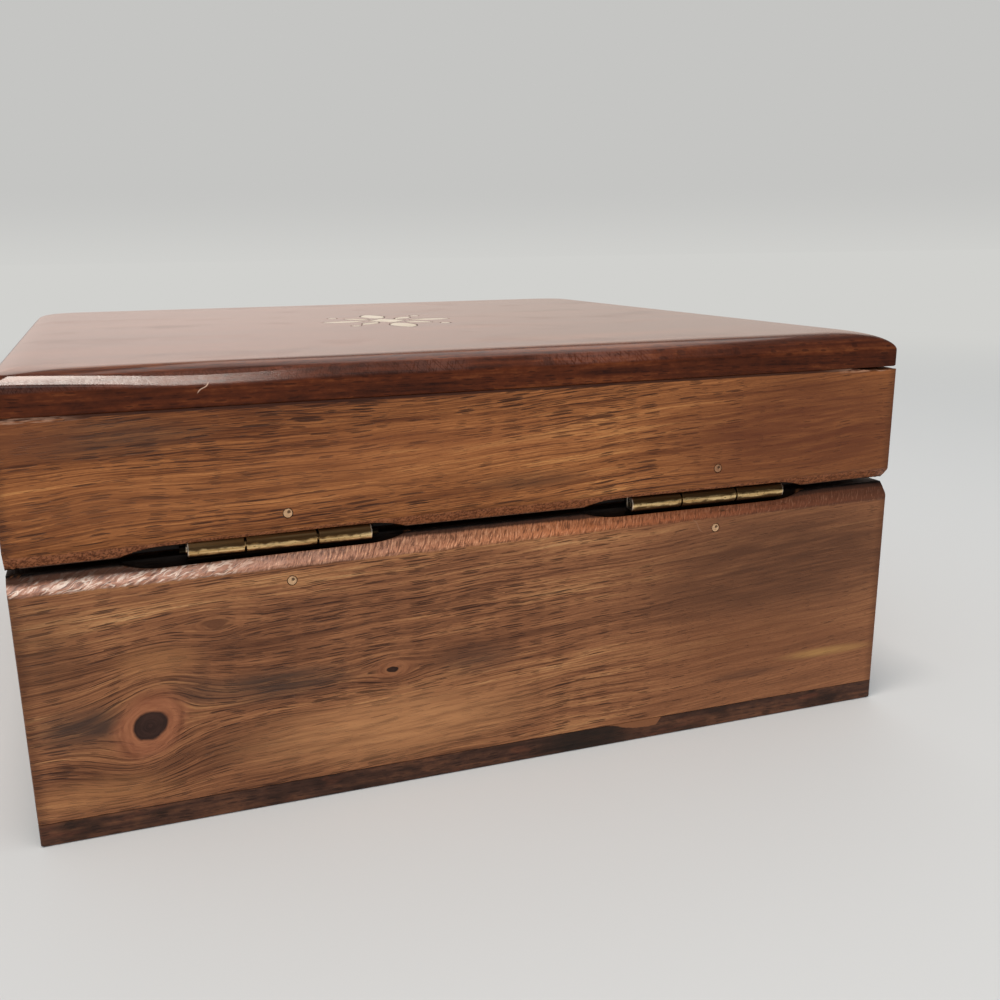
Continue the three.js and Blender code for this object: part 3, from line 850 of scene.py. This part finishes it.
def make_object(name, mesh, body, material):
    piece = bpy.data.objects.new(name, mesh)
    bpy.context.scene.collection.objects.link(piece)
    mesh.materials.append(material)
    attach(piece, body)
    return piece


def band_faces(rings, size):
    """Faces between rings of points that follow each other, each closed on itself."""
    faces = []
    for low in range(0, (rings - 1) * size, size):
        for here in range(size):
            following = (here + 1) % size
            high = low + size
            faces.append((low + here, low + following, high + following, high + here))
    return faces


def circle(sides):
    """Cosine and sine at even steps round a circle."""
    angles = [2 * math.pi * side / sides for side in range(sides)]
    return [(math.cos(angle), math.sin(angle)) for angle in angles]


def make_mesh(name, points, faces):
    """A closed mesh from points in mm, cleaned of points that lie on each other."""
    build = bmesh.new()
    vertices = [build.verts.new(Vector(point) * MM) for point in points]
    for face in faces:
        if len(set(face)) == len(face):
            build.faces.new([vertices[index] for index in face])
    bmesh.ops.remove_doubles(build, verts=build.verts, dist=1e-6)
    bmesh.ops.dissolve_degenerate(build, edges=build.edges, dist=1e-7)
    bmesh.ops.recalc_face_normals(build, faces=build.faces)
    mesh = bpy.data.meshes.new(name)
    build.to_mesh(mesh)
    build.free()
    return mesh


def smooth(piece, angle):
    """Smooth shading that stays sharp over edges steeper than angle, in degrees."""
    for polygon in piece.data.polygons:
        polygon.use_smooth = True
    piece.data.set_sharp_from_angle(angle=math.radians(angle))
    weighted = piece.modifiers.new("Flat faces stay flat", "WEIGHTED_NORMAL")
    weighted.keep_sharp = True
    return piece


# Relief that is worked into the meshes

def value_noise(u, v, seed):
    """Smooth noise from -1 to 1 over arrays of coordinates, the same on every run."""
    table = np.random.default_rng(seed).uniform(-1.0, 1.0, (64, 64))
    column, row = np.floor(u).astype(int), np.floor(v).astype(int)
    across, up = u - column, v - row
    across = across * across * (3 - 2 * across)
    up = up * up * (3 - 2 * up)

    def at(right, above):
        return table[(column + right) % 64, (row + above) % 64]

    low = at(0, 0) * (1 - across) + at(1, 0) * across
    high = at(0, 1) * (1 - across) + at(1, 1) * across
    return low * (1 - up) + high * up


# Walls, lofted along the box's side from a section that changes from column to column

def soft_step(value, low, high):
    """0 where an array is at or below low, 1 at or above high, and a soft step between."""
    share = np.clip((value - low) / (high - low), 0.0, 1.0)
    return share * share * (3 - 2 * share)


def seam_drop(x, y):
    """How far the seam between base and lid dips. It is level along the front."""
    drop = SEAM_SAG * soft_step(x, *SEAM_SAG_RUN) + SEAM_TILT * soft_step(x, *SEAM_TILT_RUN)
    return drop * np.clip((y + HALF) / (2 * HALF), 0.0, 1.0)


def from_nearest(x, centres):
    return np.min([np.abs(x - centre) for centre in centres], axis=0)


def recess_depth(x, height):
    """How far the recess round the nearer barrel cuts below the rim, for an array of places."""
    past = from_nearest(x, RECESS_X) - (HINGE_LENGTH / 2 + KERF_CLEARANCE)
    radius = (RECESS_RUN_OUT**2 + height**2) / (2 * height)
    past = np.clip(past, 0.0, RECESS_RUN_OUT)
    return np.maximum(height - radius + np.sqrt(radius**2 - past**2), 0.0)


def kerf_depth(x):
    """How far the round-bottomed kerf of the nearer leaf cuts below the rim."""
    past = from_nearest(x, HINGES.values())
    rim_to_axis = (LID_RIM - RIM) / 2
    leaf_reach = LEAF_TIP - AXIS.z
    to_leaf_end = math.sqrt((SAW_RADIUS - KERF_CLEARANCE) ** 2 - (HINGE_LENGTH / 2) ** 2)
    centre = to_leaf_end - leaf_reach + rim_to_axis
    return np.maximum(np.sqrt(np.maximum(SAW_RADIUS**2 - past**2, 0.0)) - centre, 0.0)


def soften(keys, radius):
    """Each corner of a section as three points that cut it by radius, for arrays of sections."""
    softened = []
    count = len(keys)
    for index, here in enumerate(keys):
        before = keys[index - 1] - here
        after = keys[(index + 1) % count] - here
        length_before = np.linalg.norm(before, axis=1, keepdims=True)
        length_after = np.linalg.norm(after, axis=1, keepdims=True)
        step_before = np.minimum(radius, length_before * 0.45) / np.maximum(length_before, 1e-9)
        step_after = np.minimum(radius, length_after * 0.45) / np.maximum(length_after, 1e-9)
        start = here + before * step_before
        end = here + after * step_after
        softened.append((start, (start + 2 * here + end) / 4, end))
    return softened


def section_rows(keys, spans, radius):
    """Rows of points round a section. spans gives how many steps each side of it is cut into."""
    corners = soften(keys, radius)
    rows, sides = [], []
    for index, (start, middle, end) in enumerate(corners):
        rows += [start, middle, end]
        sides += [None, None, None]
        following = corners[(index + 1) % len(corners)][0]
        for step in range(1, spans[index]):
            share = step / spans[index]
            rows.append(end * (1 - share) + following * share)
            sides.append((index, share))
    return rows, sides


def rotate_to_side(points, side):
    """Turns points that were laid out for the back wall to another side of the box."""
    x, y, z = points
    return {
        "back": (x, y, z), "left": (-y, x, z), "front": (-x, -y, z), "right": (y, -x, z),
    }[side]


def corner_gap(x, y):
    """How far the top of the lid's walls has worn away below the board at the back left corner."""
    start_x, start_y = CORNER_GAP_START
    near_corner = np.clip((start_x - x) / CORNER_GAP_RUN, 0.0, 1.0)
    near_corner = near_corner * np.clip((y - start_y) / CORNER_GAP_RUN, 0.0, 1.0)
    ragged = 1 + 0.25 * value_noise(x / 0.7, y / 0.7, 21)
    return CORNER_GAP * near_corner * ragged


def lid_seam_shear(y, z):
    """How far the lid's rim drops towards the front, where the seam is narrower."""
    drop = (LID_RIM - SEAM_IN_FRONT) * (HALF - y) / (2 * HALF)
    return -drop * (1 - np.clip((z - LID_RIM) / (LID_HIGH.z - LID_RIM), 0.0, 1.0))


def wall_section(part, t, drop, recess, hinged):
    """The corners of a wall's section for every column, as (y, z), from the foot of its outer face
    over its rim to the foot of its inner one."""
    rim, inward, far = RIMS[part]
    ones = np.ones(len(t))
    rim_line = rim - inward * drop
    leaning = CHAMFER_HEIGHT[part] + CHAMFER_LEAN * t + drop
    waver = CHAMFER_WAVER * value_noise(t / CHAMFER_WAVER_LENGTH, t * 0, 9)
    chamfer = leaning + waver if hinged else 0 * ones
    chamfer_depth = CHAMFER_DEPTH if hinged else 0
    kerf = np.maximum(kerf_depth(t) + drop, recess) if hinged else 0 * ones
    kerf_inner = AXIS.y - BARREL_RADIUS - KERF_CLEARANCE
    kerf_outer = AXIS.y - BARREL_RADIUS + LEAF_THICKNESS + KERF_CLEARANCE
    lip = recess * RECESS_LIP_SHARE[part]
    reach = abs(far - rim) + drop
    corners = [
        (HALF, reach),
        (HALF, chamfer),
        (HALF - chamfer_depth + lip * CHAMFER_DEPTH / leaning, lip),
        (kerf_outer, recess),
        (kerf_outer, kerf),
        (kerf_inner, kerf),
        (kerf_inner, 0.0),
        (INNER, 0.0),
        (INNER, reach),
    ]
    return [np.column_stack([y * ones, rim_line + inward * below * ones]) for y, below in corners]


def mitred(t, y):
    """Where a wall's columns stand in plan, drawn in to its mitred ends and rounded corners."""
    corner = HALF - CORNER_ROUNDING
    past = np.clip((np.abs(t) - MITRE_START) / (HALF - MITRE_START), 0.0, 1.0)
    end_x = np.minimum(y, corner + CORNER_ROUNDING * math.sqrt(0.5))
    x = np.sign(t) * (np.minimum(np.abs(t), MITRE_START) + past * (end_x - MITRE_START))
    over = np.clip(np.abs(x) - corner, 0.0, CORNER_ROUNDING)
    limit = corner + np.sqrt(np.maximum(CORNER_ROUNDING**2 - over**2, 0.0))
    return x, np.minimum(y, np.where(over > 0, limit, y))


def fitted_height(part, side, place, drop):
    """A row's heights after the back wall's chamfer, the sloping seam and the gap at the corner."""
    x, y, z = place
    rim, inward, _ = RIMS[part]
    if side in ("left", "right"):
        end_x = HALF if side == "right" else -HALF
        end_height = CHAMFER_HEIGHT[part] + CHAMFER_LEAN * end_x + drop
        cut = np.maximum(y - (HALF - CHAMFER_DEPTH), 0.0) * end_height / CHAMFER_DEPTH
        limit = rim - inward * drop + inward * cut
        z = np.maximum(z, limit) if part == "lid" else np.minimum(z, limit)
    if part == "lid":
        z = z + lid_seam_shear(y, z)
        at_board = np.clip((z - (LID_HIGH.z - CORNER_GAP_RISE)) / CORNER_GAP_RISE, 0.0, 1.0)
        z = z - at_board * corner_gap(x, y)
    return z


def loft_faces(row_count, count):
    """Faces between a wall's rows of points, the last of which joins the first, and its two ends."""
    faces = []
    for row in range(row_count):
        here, following = row * count, (row + 1) % row_count * count
        for column in range(count - 1):
            faces.append((
                here + column, here + column + 1, following + column + 1, following + column))
    faces.append(tuple(row * count for row in range(row_count)))
    faces.append(tuple(row * count + count - 1 for row in reversed(range(row_count))))
    return faces


def make_wall(part, side, t, chamfer_relief, material):
    """One mitred wall of the base or lid, with the cuts that its side has. t is where its columns
    of points stand along it."""
    hinged = side == "back"
    _, inward, _ = RIMS[part]
    ones = np.ones(len(t))
    x, y, _ = rotate_to_side((t, HALF * ones, 0 * ones), side)
    drop = inward * seam_drop(x, y)
    recess = recess_depth(t, RECESS_HEIGHT[part]) if hinged else 0 * ones
    keys = wall_section(part, t, drop, recess, hinged)
    rows, sides = section_rows(keys, SECTION_SPANS[hinged], EDGE_SOFTENING)
    chamfer_normal = Vector((CHAMFER_HEIGHT[part], CHAMFER_DEPTH)).normalized()
    points = []
    for section, place in zip(rows, sides):
        y, z = section[:, 0].copy(), section[:, 1].copy()
        if hinged and place is not None and place[0] == CHAMFER_SPAN:
            share = place[1]
            bulge = chamfer_relief(t, share) * np.minimum(1.0, 4 * share * (1 - share))
            y += bulge * chamfer_normal.x
            z -= inward * bulge * chamfer_normal.y
        x, y = mitred(t, y)
        x, y, z = rotate_to_side((x, y, z), side)
        z = fitted_height(part, side, (x, y, z), drop)
        points.append(np.column_stack([x, y, z]))
    name = f"{part}_{side}_wall_wood"
    mesh = make_mesh(name, np.concatenate(points), loft_faces(len(points), len(t)))
    piece = make_object(name, mesh, part, material)
    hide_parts(f"{part}_{side}_wall")
    return smooth(piece, WOOD_CREASE)


def torn_fibres(t, share):
    """Relief of the base's rough chamfer, in mm: fibres that slant towards +X, and a few chips."""
    rise = share * CHAMFER_HEIGHT["base"]
    bend = value_noise(t / 3.0, rise / 1.4, 4) * 0.7
    slant_rise = t * 0.4 + rise * 0.92 + bend
    slanting = value_noise(slant_rise / 0.55, (rise * 0.4 - t * 0.92) / 2.4, 5) * 0.09
    upright = value_noise(t / 0.45 + rise * 0.8, rise / 1.3 + t / 9.0, 5) * 0.035
    slanted = soft_step(t, 38.0, 58.0)
    fibres = slanting * slanted + upright * (1 - slanted)
    coarse = value_noise(t / 2.2, share * 1.5, 6) * 0.05
    chips = np.maximum(value_noise(t / 3.1, share * 2.0, 7) - 0.62, 0.0) * -0.9
    fuzz = value_noise(t / 0.27, share * 12.0, 8) * 0.025
    return fibres + coarse + chips + fuzz


def sawn_chamfer(t, share):
    """Relief of the lid's chamfer, in mm: fine upright saw marks."""
    marks = value_noise(t / 0.5, share * 1.5, 15) * 0.03
    return marks + value_noise(t / 3.0, share * 2.0, 16) * 0.04


def wall_columns(step, ends):
    """Where a wall's columns of points stand: even steps, and the given places near both ends."""
    reach = ends[0] - step
    body = np.arange(-reach, reach + step / 2, step)
    ends = np.array([*ends, HALF])
    return np.concatenate([-ends[::-1], body, ends])


# Boards, as stacks of rounded rectangles

def rounded_ring(half, radius, height, corner_steps, back_steps=0):
    """A rounded square of points, with extra points along its back edge where they are asked for."""
    points = []
    centre = half - radius
    for quarter, (sign_x, sign_y) in enumerate([(1, 1), (-1, 1), (-1, -1), (1, -1)]):
        for step in range(corner_steps + 1):
            angle = math.pi / 2 * (quarter + step / corner_steps)
            points.append((
                sign_x * centre + radius * math.cos(angle),
                sign_y * centre + radius * math.sin(angle),
                height,
            ))
        if quarter == 0:
            for step in range(1, back_steps):
                points.append((centre * (1 - 2 * step / back_steps), half, height))
    return points


def edge_place(degrees):
    """Inset and height of the top board's rounded edge, at an angle up from its side."""
    angle = math.radians(degrees)
    return BOARD_EDGE_INSET * (1 - math.cos(angle)), TOP - BOARD_EDGE_DROP * (1 - math.sin(angle))


def flatten(rounded, flat):
    """A point of the rounded edge, moved onto the facet where it runs, which is towards +X."""
    share = float(soft_step(rounded[0], *FACET_RUN))
    return tuple(Vector(rounded).lerp(Vector(flat), share))


def lift_facet(point, edges):
    """Raises the facet of the board's back edge towards the corner at +X, and sags beside it."""
    x, y, z = point
    sag = soft_step(x, *FACET_SAG_RUNS[0]) - soft_step(x, *FACET_SAG_RUNS[1])
    lift = FACET_LIFT * soft_step(x, *FACET_LIFT_RUN) - FACET_SAG * sag
    lift = float(lift * soft_step(y, 0.0, 60.0))
    facet_low, facet_high = edges
    bottom = TOP - BOARD_EDGE_DROP
    return x, y, float(np.interp(
        z, (bottom, facet_low, facet_high, TOP), (bottom, facet_low + lift, facet_high + lift, TOP)))


def stacked_rings(name, rings):
    """A closed mesh from rings of points, from the lowest to the highest."""
    count = len(rings[0])
    points = [point for ring in rings for point in ring]
    faces = [tuple(reversed(range(count)))]
    faces += band_faces(len(rings), count)
    faces.append(tuple((len(rings) - 1) * count + here for here in range(count)))
    return make_mesh(name, points, faces)


def make_bottom_board(material):
    """The thin board under the base's walls, with its lower edge softened."""
    soft = EDGE_SOFTENING
    rings = []
    for inset, height in ((soft, 0.0), (0.0, soft), (0.0, WALL_LOW.z / 2), (0.0, WALL_LOW.z)):
        rings.append(rounded_ring(HALF - inset, CORNER_ROUNDING, height, BOTTOM_CORNER_STEPS))
    mesh = stacked_rings("bottom_board_wood", rings)
    piece = make_object("bottom_board_wood", mesh, "base", material)
    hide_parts("bottom_board")
    return smooth(piece, FINE_CREASE)


def linked(name, mesh):
    """A helper object, in the scene only until it has cut or joined another."""
    helper = bpy.data.objects.new(name, mesh)
    bpy.context.scene.collection.objects.link(helper)
    return helper


def cut_with(piece, cutter, operation="DIFFERENCE"):
    """Cuts the cutter out of the piece, or joins it to it, and throws the cutter away."""
    modifier = piece.modifiers.new("Cut", "BOOLEAN")
    modifier.operation = operation
    modifier.solver = "EXACT"
    modifier.object = cutter
    graph = bpy.context.evaluated_depsgraph_get()
    cut_mesh = bpy.data.meshes.new_from_object(piece.evaluated_get(graph))
    piece.modifiers.remove(modifier)
    piece.data = cut_mesh
    bpy.data.objects.remove(cutter)


def grown_outline(outline, grow):
    """The corners of a flat outline, moved outward until its edges lie further out by grow."""
    grown = []
    for index, point in enumerate(outline):
        here = Vector(point)
        before = (here - Vector(outline[index - 1])).normalized()
        after = (Vector(outline[(index + 1) % len(outline)]) - here).normalized()
        normal = Vector((before.y, -before.x))
        bisector = (normal + Vector((after.y, -after.x))).normalized()
        spread = max(bisector.dot(normal), SHARPEST_SPREAD)
        grown.append(here + bisector * (grow / spread))
    return grown


def grown_inlay_cutter(grow):
    """The inlay's pieces, grown by the width of the dark line round them, as one cutter."""
    build = bmesh.new()
    for name, node in frame["nodes"].items():
        if not name.startswith("inlay_"):
            continue
        low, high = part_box(name)
        top_points = [v.co for v in node.data.vertices if v.co.z > high.z - SAME_HEIGHT]
        centre = (low + high) / 2
        outline = sorted(
            {(round(p.x, 7), round(p.y, 7)) for p in top_points},
            key=lambda p: math.atan2(p[1] - centre.y, p[0] - centre.x))
        rim_low, rim_high = [], []
        for outward in grown_outline(outline, grow * MM):
            rim_low.append(build.verts.new((*outward, (TOP - INLAY_DEPTH) * MM)))
            rim_high.append(build.verts.new((*outward, (TOP + CUT_PAST) * MM)))
        build.faces.new(rim_high)
        build.faces.new(list(reversed(rim_low)))
        for index in range(len(outline)):
            following = (index + 1) % len(outline)
            build.faces.new(
                (rim_low[index], rim_low[following], rim_high[following], rim_high[index]))
    mesh = bpy.data.meshes.new("inlay_cutter")
    build.to_mesh(mesh)
    build.free()
    return linked("inlay_cutter", mesh)


def make_top_board(material):
    """The glossy board on the lid, with its rounded edge, its facet and the inlay's pockets."""
    def ring(inset, height, growth=1):
        radius = BOARD_CORNER_RADIUS + growth * inset
        return rounded_ring(HALF - inset, radius, height, TOP_CORNER_STEPS, TOP_BACK_STEPS)

    low = BOARD_LOW.z
    rings = [ring(BOARD_FOOT_CUT, low, growth=0), ring(0.0, low + BOARD_FOOT_CUT)]
    facet_start, facet_end = BOARD_FACET
    facet = [edge_place(degrees) for degrees in BOARD_FACET]
    edges = [height for _, height in facet]
    for degrees in BOARD_EDGE_DEGREES:
        inset, height = edge_place(degrees)
        edge = ring(inset, height)
        if facet_start < degrees < facet_end:
            flat_inset = float(np.interp(height, edges, [flat for flat, _ in facet]))
            edge = [flatten(*pair) for pair in zip(edge, ring(flat_inset, height))]
        rings.append([lift_facet(point, edges) for point in edge])
    rings.append(ring(BOARD_EDGE_INSET + BOARD_EDGE_REST, TOP))
    mesh = stacked_rings("lid_top_board_wood", rings)
    piece = make_object("lid_top_board_wood", mesh, "lid", material)
    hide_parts("lid_top_board")
    cut_with(piece, grown_inlay_cutter(INLAY_LINE))
    return smooth(piece, WOOD_CREASE)


def make_bore(name, x, z, radius, low, high):
    """A cylinder along Y, from low to high, to cut a hole with."""
    sides = BORE_SIDES
    points = [(x + radius * cos, y, z + radius * sin) for y in (low, high) for cos, sin in circle(sides)]
    faces = band_faces(2, sides)
    faces += [tuple(range(sides)), tuple(range(sides, 2 * sides))]
    return linked(name, make_mesh(name, points, faces))


def drill_pin_holes(wall, drop):
    """Bores the holes for a back wall's leaf pins. drop is how high they lie above the axis."""
    for side, x in HINGES.items():
        bore = make_bore(
            f"bore_{side}", x + PIN_SHIFT, AXIS.z + drop - PIN_DROP[side], PIN_RADIUS + PIN_CLEARANCE,
            PIN_LOW.y - PIN_CLEARANCE, HALF + CUT_PAST)
        cut_with(wall, bore)


def make_leaf_pin(part, side, x, z, material):
    """A pin driven through the wall and the leaf, with a small pit off the middle of its end."""
    points = [
        (x + PIN_RADIUS * (share * cos - shift), y, z + PIN_RADIUS * (share * sin + shift))
        for share, y, shift in PIN_PROFILE for cos, sin in circle(PIN_SIDES)]
    name = f"leaf_pin_{part}_{side}_brass"
    mesh = make_mesh(name, points, band_faces(len(PIN_PROFILE), PIN_SIDES))
    piece = make_object(name, mesh, part, material)
    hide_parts(f"leaf_pin_{part}_{side}")
    return smooth(piece, FINE_CREASE)


def knuckle_section(leaf_side):
    """A leaf's strip and the roll at its end, as (y, z) about the hinge's axis."""
    inner = BARREL_RADIUS - LEAF_THICKNESS
    wrap = math.radians(KNUCKLE_WRAP)
    foot = leaf_side * (BARREL_RADIUS + KNUCKLE_GAP + KNUCKLE_OVERLAP)
    angles = [math.pi - wrap * step / KNUCKLE_STEPS for step in range(KNUCKLE_STEPS + 1)]

    def arc(radius):
        return [(radius * math.cos(angle), -leaf_side * radius * math.sin(angle)) for angle in angles]

    return [(-BARREL_RADIUS, foot), (-inner, foot), *arc(inner), *reversed(arc(BARREL_RADIUS))]


def extruded(name, section, start, end):
    """An outline of (y, z) drawn out along X."""
    count = len(section)
    points = [(x, y, z) for x in (start, end) for y, z in section]
    faces = [tuple(range(count)), tuple(range(2 * count - 1, count - 1, -1))]
    return make_mesh(name, points, faces + band_faces(2, count))


def make_hinge_leaf(part, side, hinge_x, material):
    """A leaf and its knuckles: the middle one on the base's leaf, the two outer ones on the lid's."""
    leaf_side = 1 if part == "lid" else -1
    tip = leaf_side * (LEAF_TIP - AXIS.z)
    start = leaf_side * (BARREL_RADIUS + KNUCKLE_GAP)
    inner = BARREL_RADIUS - LEAF_THICKNESS
    half_length = HINGE_LENGTH / 2 - KNUCKLE_TRIM[side]
    plate = [(-BARREL_RADIUS, start), (-inner, start), (-inner, tip), (-BARREL_RADIUS, tip)]
    name = f"hinge_leaf_{part}_{side}_brass"
    mesh = extruded(name, plate, -half_length, half_length)
    piece = make_object(name, mesh, part, material)
    centre_end = CENTRE_KNUCKLE / 2
    outer_start = centre_end + KNUCKLE_GAP
    spans = [(-centre_end, centre_end)]
    if part == "lid":
        spans = [(-half_length, -outer_start), (outer_start, half_length)]
    for low, high in spans:
        knuckle = extruded("knuckle", knuckle_section(leaf_side), low, high)
        cut_with(piece, linked("knuckle", knuckle), "UNION")
    piece.data.transform(Matrix.Translation(Vector((hinge_x, AXIS.y, AXIS.z)) * MM))
    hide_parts(f"hinge_leaf_{part}_{side}")
    soften_edges(piece, EDGE_WEAR["leaf"])
    return smooth(piece, LEAF_CREASE)


def soften_edges(piece, width):
    """Rounds a piece's sharp edges by a bevel of this width in mm."""
    bevel = piece.modifiers.new("Worn edges", "BEVEL")
    bevel.width = width * MM
    bevel.segments = 2
    bevel.limit_method = "ANGLE"
    bevel.angle_limit = math.radians(BEVEL_FROM)
    bevel.harden_normals = False


def finish_node(name, material, bevel_width):
    """Gives a CAD node that stays its material and slightly worn edges."""
    node = frame["nodes"][name]
    node.data.materials.clear()
    node.data.materials.append(material)
    soften_edges(node, bevel_width)
    return smooth(node, WOOD_CREASE)


# The object

# The first plain wall's seed, and the step from one to the next
WALL_SEEDS = (31.0, 13.0)


def build_object():
    base_back = wood(
        "Base back wall wood", "x", 0.055, 11.0, "base", knots=(BIG_KNOT, SMALL_KNOT, SWIRL),
        patches=BASE_PATCHES, calm_run=(-50.0, 0.0), hinged=True)
    lid_back = wood(
        "Lid back wall wood", "x", 0.06, 23.0, "lid", patches=LID_PATCHES, calm_run=(-60.0, -20.0),
        hinged=True)
    fine = wall_columns(*FINE_COLUMNS)
    even = wall_columns(*EVEN_COLUMNS)
    drill_pin_holes(make_wall("base", "back", fine, torn_fibres, base_back), BASE_PIN_Z - AXIS.z)
    drill_pin_holes(make_wall("lid", "back", fine, sawn_chamfer, lid_back), LID_PIN_Z - AXIS.z)
    seed = WALL_SEEDS[0]
    for part in ("base", "lid"):
        for side, along in (("front", "x"), ("left", "y"), ("right", "y")):
            material = wood(f"{part.title()} {side} wall wood", along, 0.03, seed, part)
            make_wall(part, side, even, None, material)
            seed += WALL_SEEDS[1]
    make_bottom_board(board_wood("Bottom board wood", 71.0, BOTTOM_TINTS, 0.05))
    make_top_board(board_wood("Top board wood", 83.0, TOP_TINTS, 1.0, worn_edge=True))
    brass = hinge_brass("Aged brass", 5.0)
    pin_metal = pin_brass("Pin brass", 7.0)
    for side, x in HINGES.items():
        for part, pin_z in (("base", BASE_PIN_Z), ("lid", LID_PIN_Z)):
            make_hinge_leaf(part, side, x, brass)
            make_leaf_pin(part, side, x + PIN_SHIFT, pin_z - PIN_DROP[side], pin_metal)
        finish_node(f"hinge_pin_{side}", brass, EDGE_WEAR["hinge_pin"])
    resin = pale_resin("Pale resin", 3.0)
    for name in frame["nodes"]:
        if name.startswith("inlay"):
            finish_node(name, resin, EDGE_WEAR["inlay"])


# Stage, light and camera

BACKDROP_HIGH = colour(197, 197, 195)
BACKDROP_LOW = colour(209, 209, 206)
FLOOR = colour(209, 212, 213)
ROOM_LIGHT = colour(196, 198, 199)
ROOM_DIM = colour(84, 80, 76)
ROOM_WALL_LEFT = colour(220, 203, 192)
ROOM_WALL_RIGHT = colour(236, 216, 206)

# The floor's size in m, and how far from the box it fades into the backdrop, in mm
FLOOR_SIZE = 12.0
FLOOR_FADE = (250.0, 900.0)

# Each lamp's place and aim in m, width and height in m, power in W, and tint
LAMPS = {
    "Window": ((0.11, 0.146, 1.0), (0.11, 0.1, 0.05), (0.3, 0.14), 4.0, (1.0, 0.87, 0.78)),
    "Soft box": ((0.3, 0.9, 1.1), (0, 0, 0.03), (0.9, 0.7), 4.6, (0.98, 1.0, 1.0)),
    "Fill": ((-0.4, -0.9, 1.0), (0, 0, 0.03), (0.9, 0.7), 1.6, (1.0, 0.97, 0.94)),
}


def build_stage():
    """A pale floor that fades into the backdrop's colour far from the box."""
    bpy.ops.mesh.primitive_plane_add(size=FLOOR_SIZE)
    floor = bpy.context.object
    floor.name = "floor"
    surface = Surface("Pale floor")
    surface.set(base_color=FLOOR, roughness=0.7, specular_ior_level=0.1)
    tree = surface.tree
    glow = tree.nodes.new("ShaderNodeEmission")
    glow.inputs["Color"].default_value = BACKDROP_LOW
    blend = tree.nodes.new("ShaderNodeMixShader")
    rays = tree.nodes.new("ShaderNodeLightPath")
    distance = (surface.x * surface.x + surface.y * surface.y).math("SQRT")
    seen = Field(tree, rays.outputs["Is Camera Ray"])
    connect(tree, distance.between(*FLOOR_FADE) * seen, blend.inputs[0])
    tree.links.new(surface.shader.outputs[0], blend.inputs[1])
    tree.links.new(glow.outputs[0], blend.inputs[2])
    tree.links.new(blend.outputs[0], tree.nodes["Material Output"].inputs["Surface"])
    floor.data.materials.append(surface.material)


def area_light(name, place, aim, size, power, tint):
    """A soft rectangular lamp at a place, turned towards its aim."""
    data = bpy.data.lights.new(name, "AREA")
    data.shape = "RECTANGLE"
    data.size, data.size_y = size
    data.energy = power
    data.color = tint
    light = bpy.data.objects.new(name, data)
    bpy.context.scene.collection.objects.link(light)
    light.location = Vector(place)
    light.rotation_euler = (Vector(aim) - Vector(place)).to_track_quat("-Z", "Y").to_euler()


def build_world():
    """Even light from all round. Gloss sees a pale wall low down past the front, and a dim room
    elsewhere."""
    world = bpy.data.worlds.new("Soft room light")
    bpy.context.scene.world = world
    world.use_nodes = True
    tree = world.node_tree
    place = tree.nodes.new("ShaderNodeTexCoord")
    parts = tree.nodes.new("ShaderNodeSeparateXYZ")
    tree.links.new(place.outputs["Generated"], parts.inputs[0])
    x, y, z = (Field(tree, output) for output in parts.outputs)
    rays = tree.nodes.new("ShaderNodeLightPath")
    seen, glossy, passed = (
        Field(tree, rays.outputs[f"Is {kind} Ray"]) for kind in ("Camera", "Glossy", "Transmission"))
    past_front = (1 - y.between(-0.35, 0.3)) * (1 - z.between(0.22, 0.42))
    wall = mixed(tree, x.between(-0.45, -0.05), ROOM_WALL_LEFT, ROOM_WALL_RIGHT)
    room = mixed(tree, past_front, ROOM_DIM, wall)
    backdrop = z.between(-0.03, 0.05).ramp((0.0, BACKDROP_LOW), (1.0, BACKDROP_HIGH))
    light = mixed(tree, glossy.math("MAXIMUM", passed), ROOM_LIGHT, room)
    light = mixed(tree, seen, light, backdrop)
    tree.links.new(light, tree.nodes["Background"].inputs["Color"])


def build_light():
    build_world()
    for name, lamp in LAMPS.items():
        area_light(name, *lamp)


CAMERA_PLACE = Vector((58.7, 232.37, 86.66))
CAMERA_LOOK = Vector((-0.33, -0.9076, -0.2595))
CAMERA_RIGHT = Vector((-0.9387, 0.3444, -0.011))
FOCAL_PIXELS = 1070.6
PICTURE_PIXELS = 1000.0
SENSOR = 36.0
CENTRE_DROP_PIXELS = 30.0


def build_camera():
    data = bpy.data.cameras.new("Camera")
    data.sensor_width = SENSOR
    data.lens = SENSOR * FOCAL_PIXELS / PICTURE_PIXELS
    data.shift_y = CENTRE_DROP_PIXELS / PICTURE_PIXELS
    data.clip_start = 0.01
    camera = bpy.data.objects.new("Camera", data)
    bpy.context.scene.collection.objects.link(camera)
    back = -CAMERA_LOOK.normalized()
    right = (CAMERA_RIGHT - CAMERA_RIGHT.dot(back) * back).normalized()
    up = back.cross(right)
    camera.matrix_world = Matrix((
        (right.x, up.x, back.x, CAMERA_PLACE.x * MM),
        (right.y, up.y, back.y, CAMERA_PLACE.y * MM),
        (right.z, up.z, back.z, CAMERA_PLACE.z * MM),
        (0, 0, 0, 1),
    ))
    bpy.context.scene.camera = camera


build_object()
build_stage()
build_light()
build_camera()
bpy.context.scene.view_settings.view_transform = "Standard"
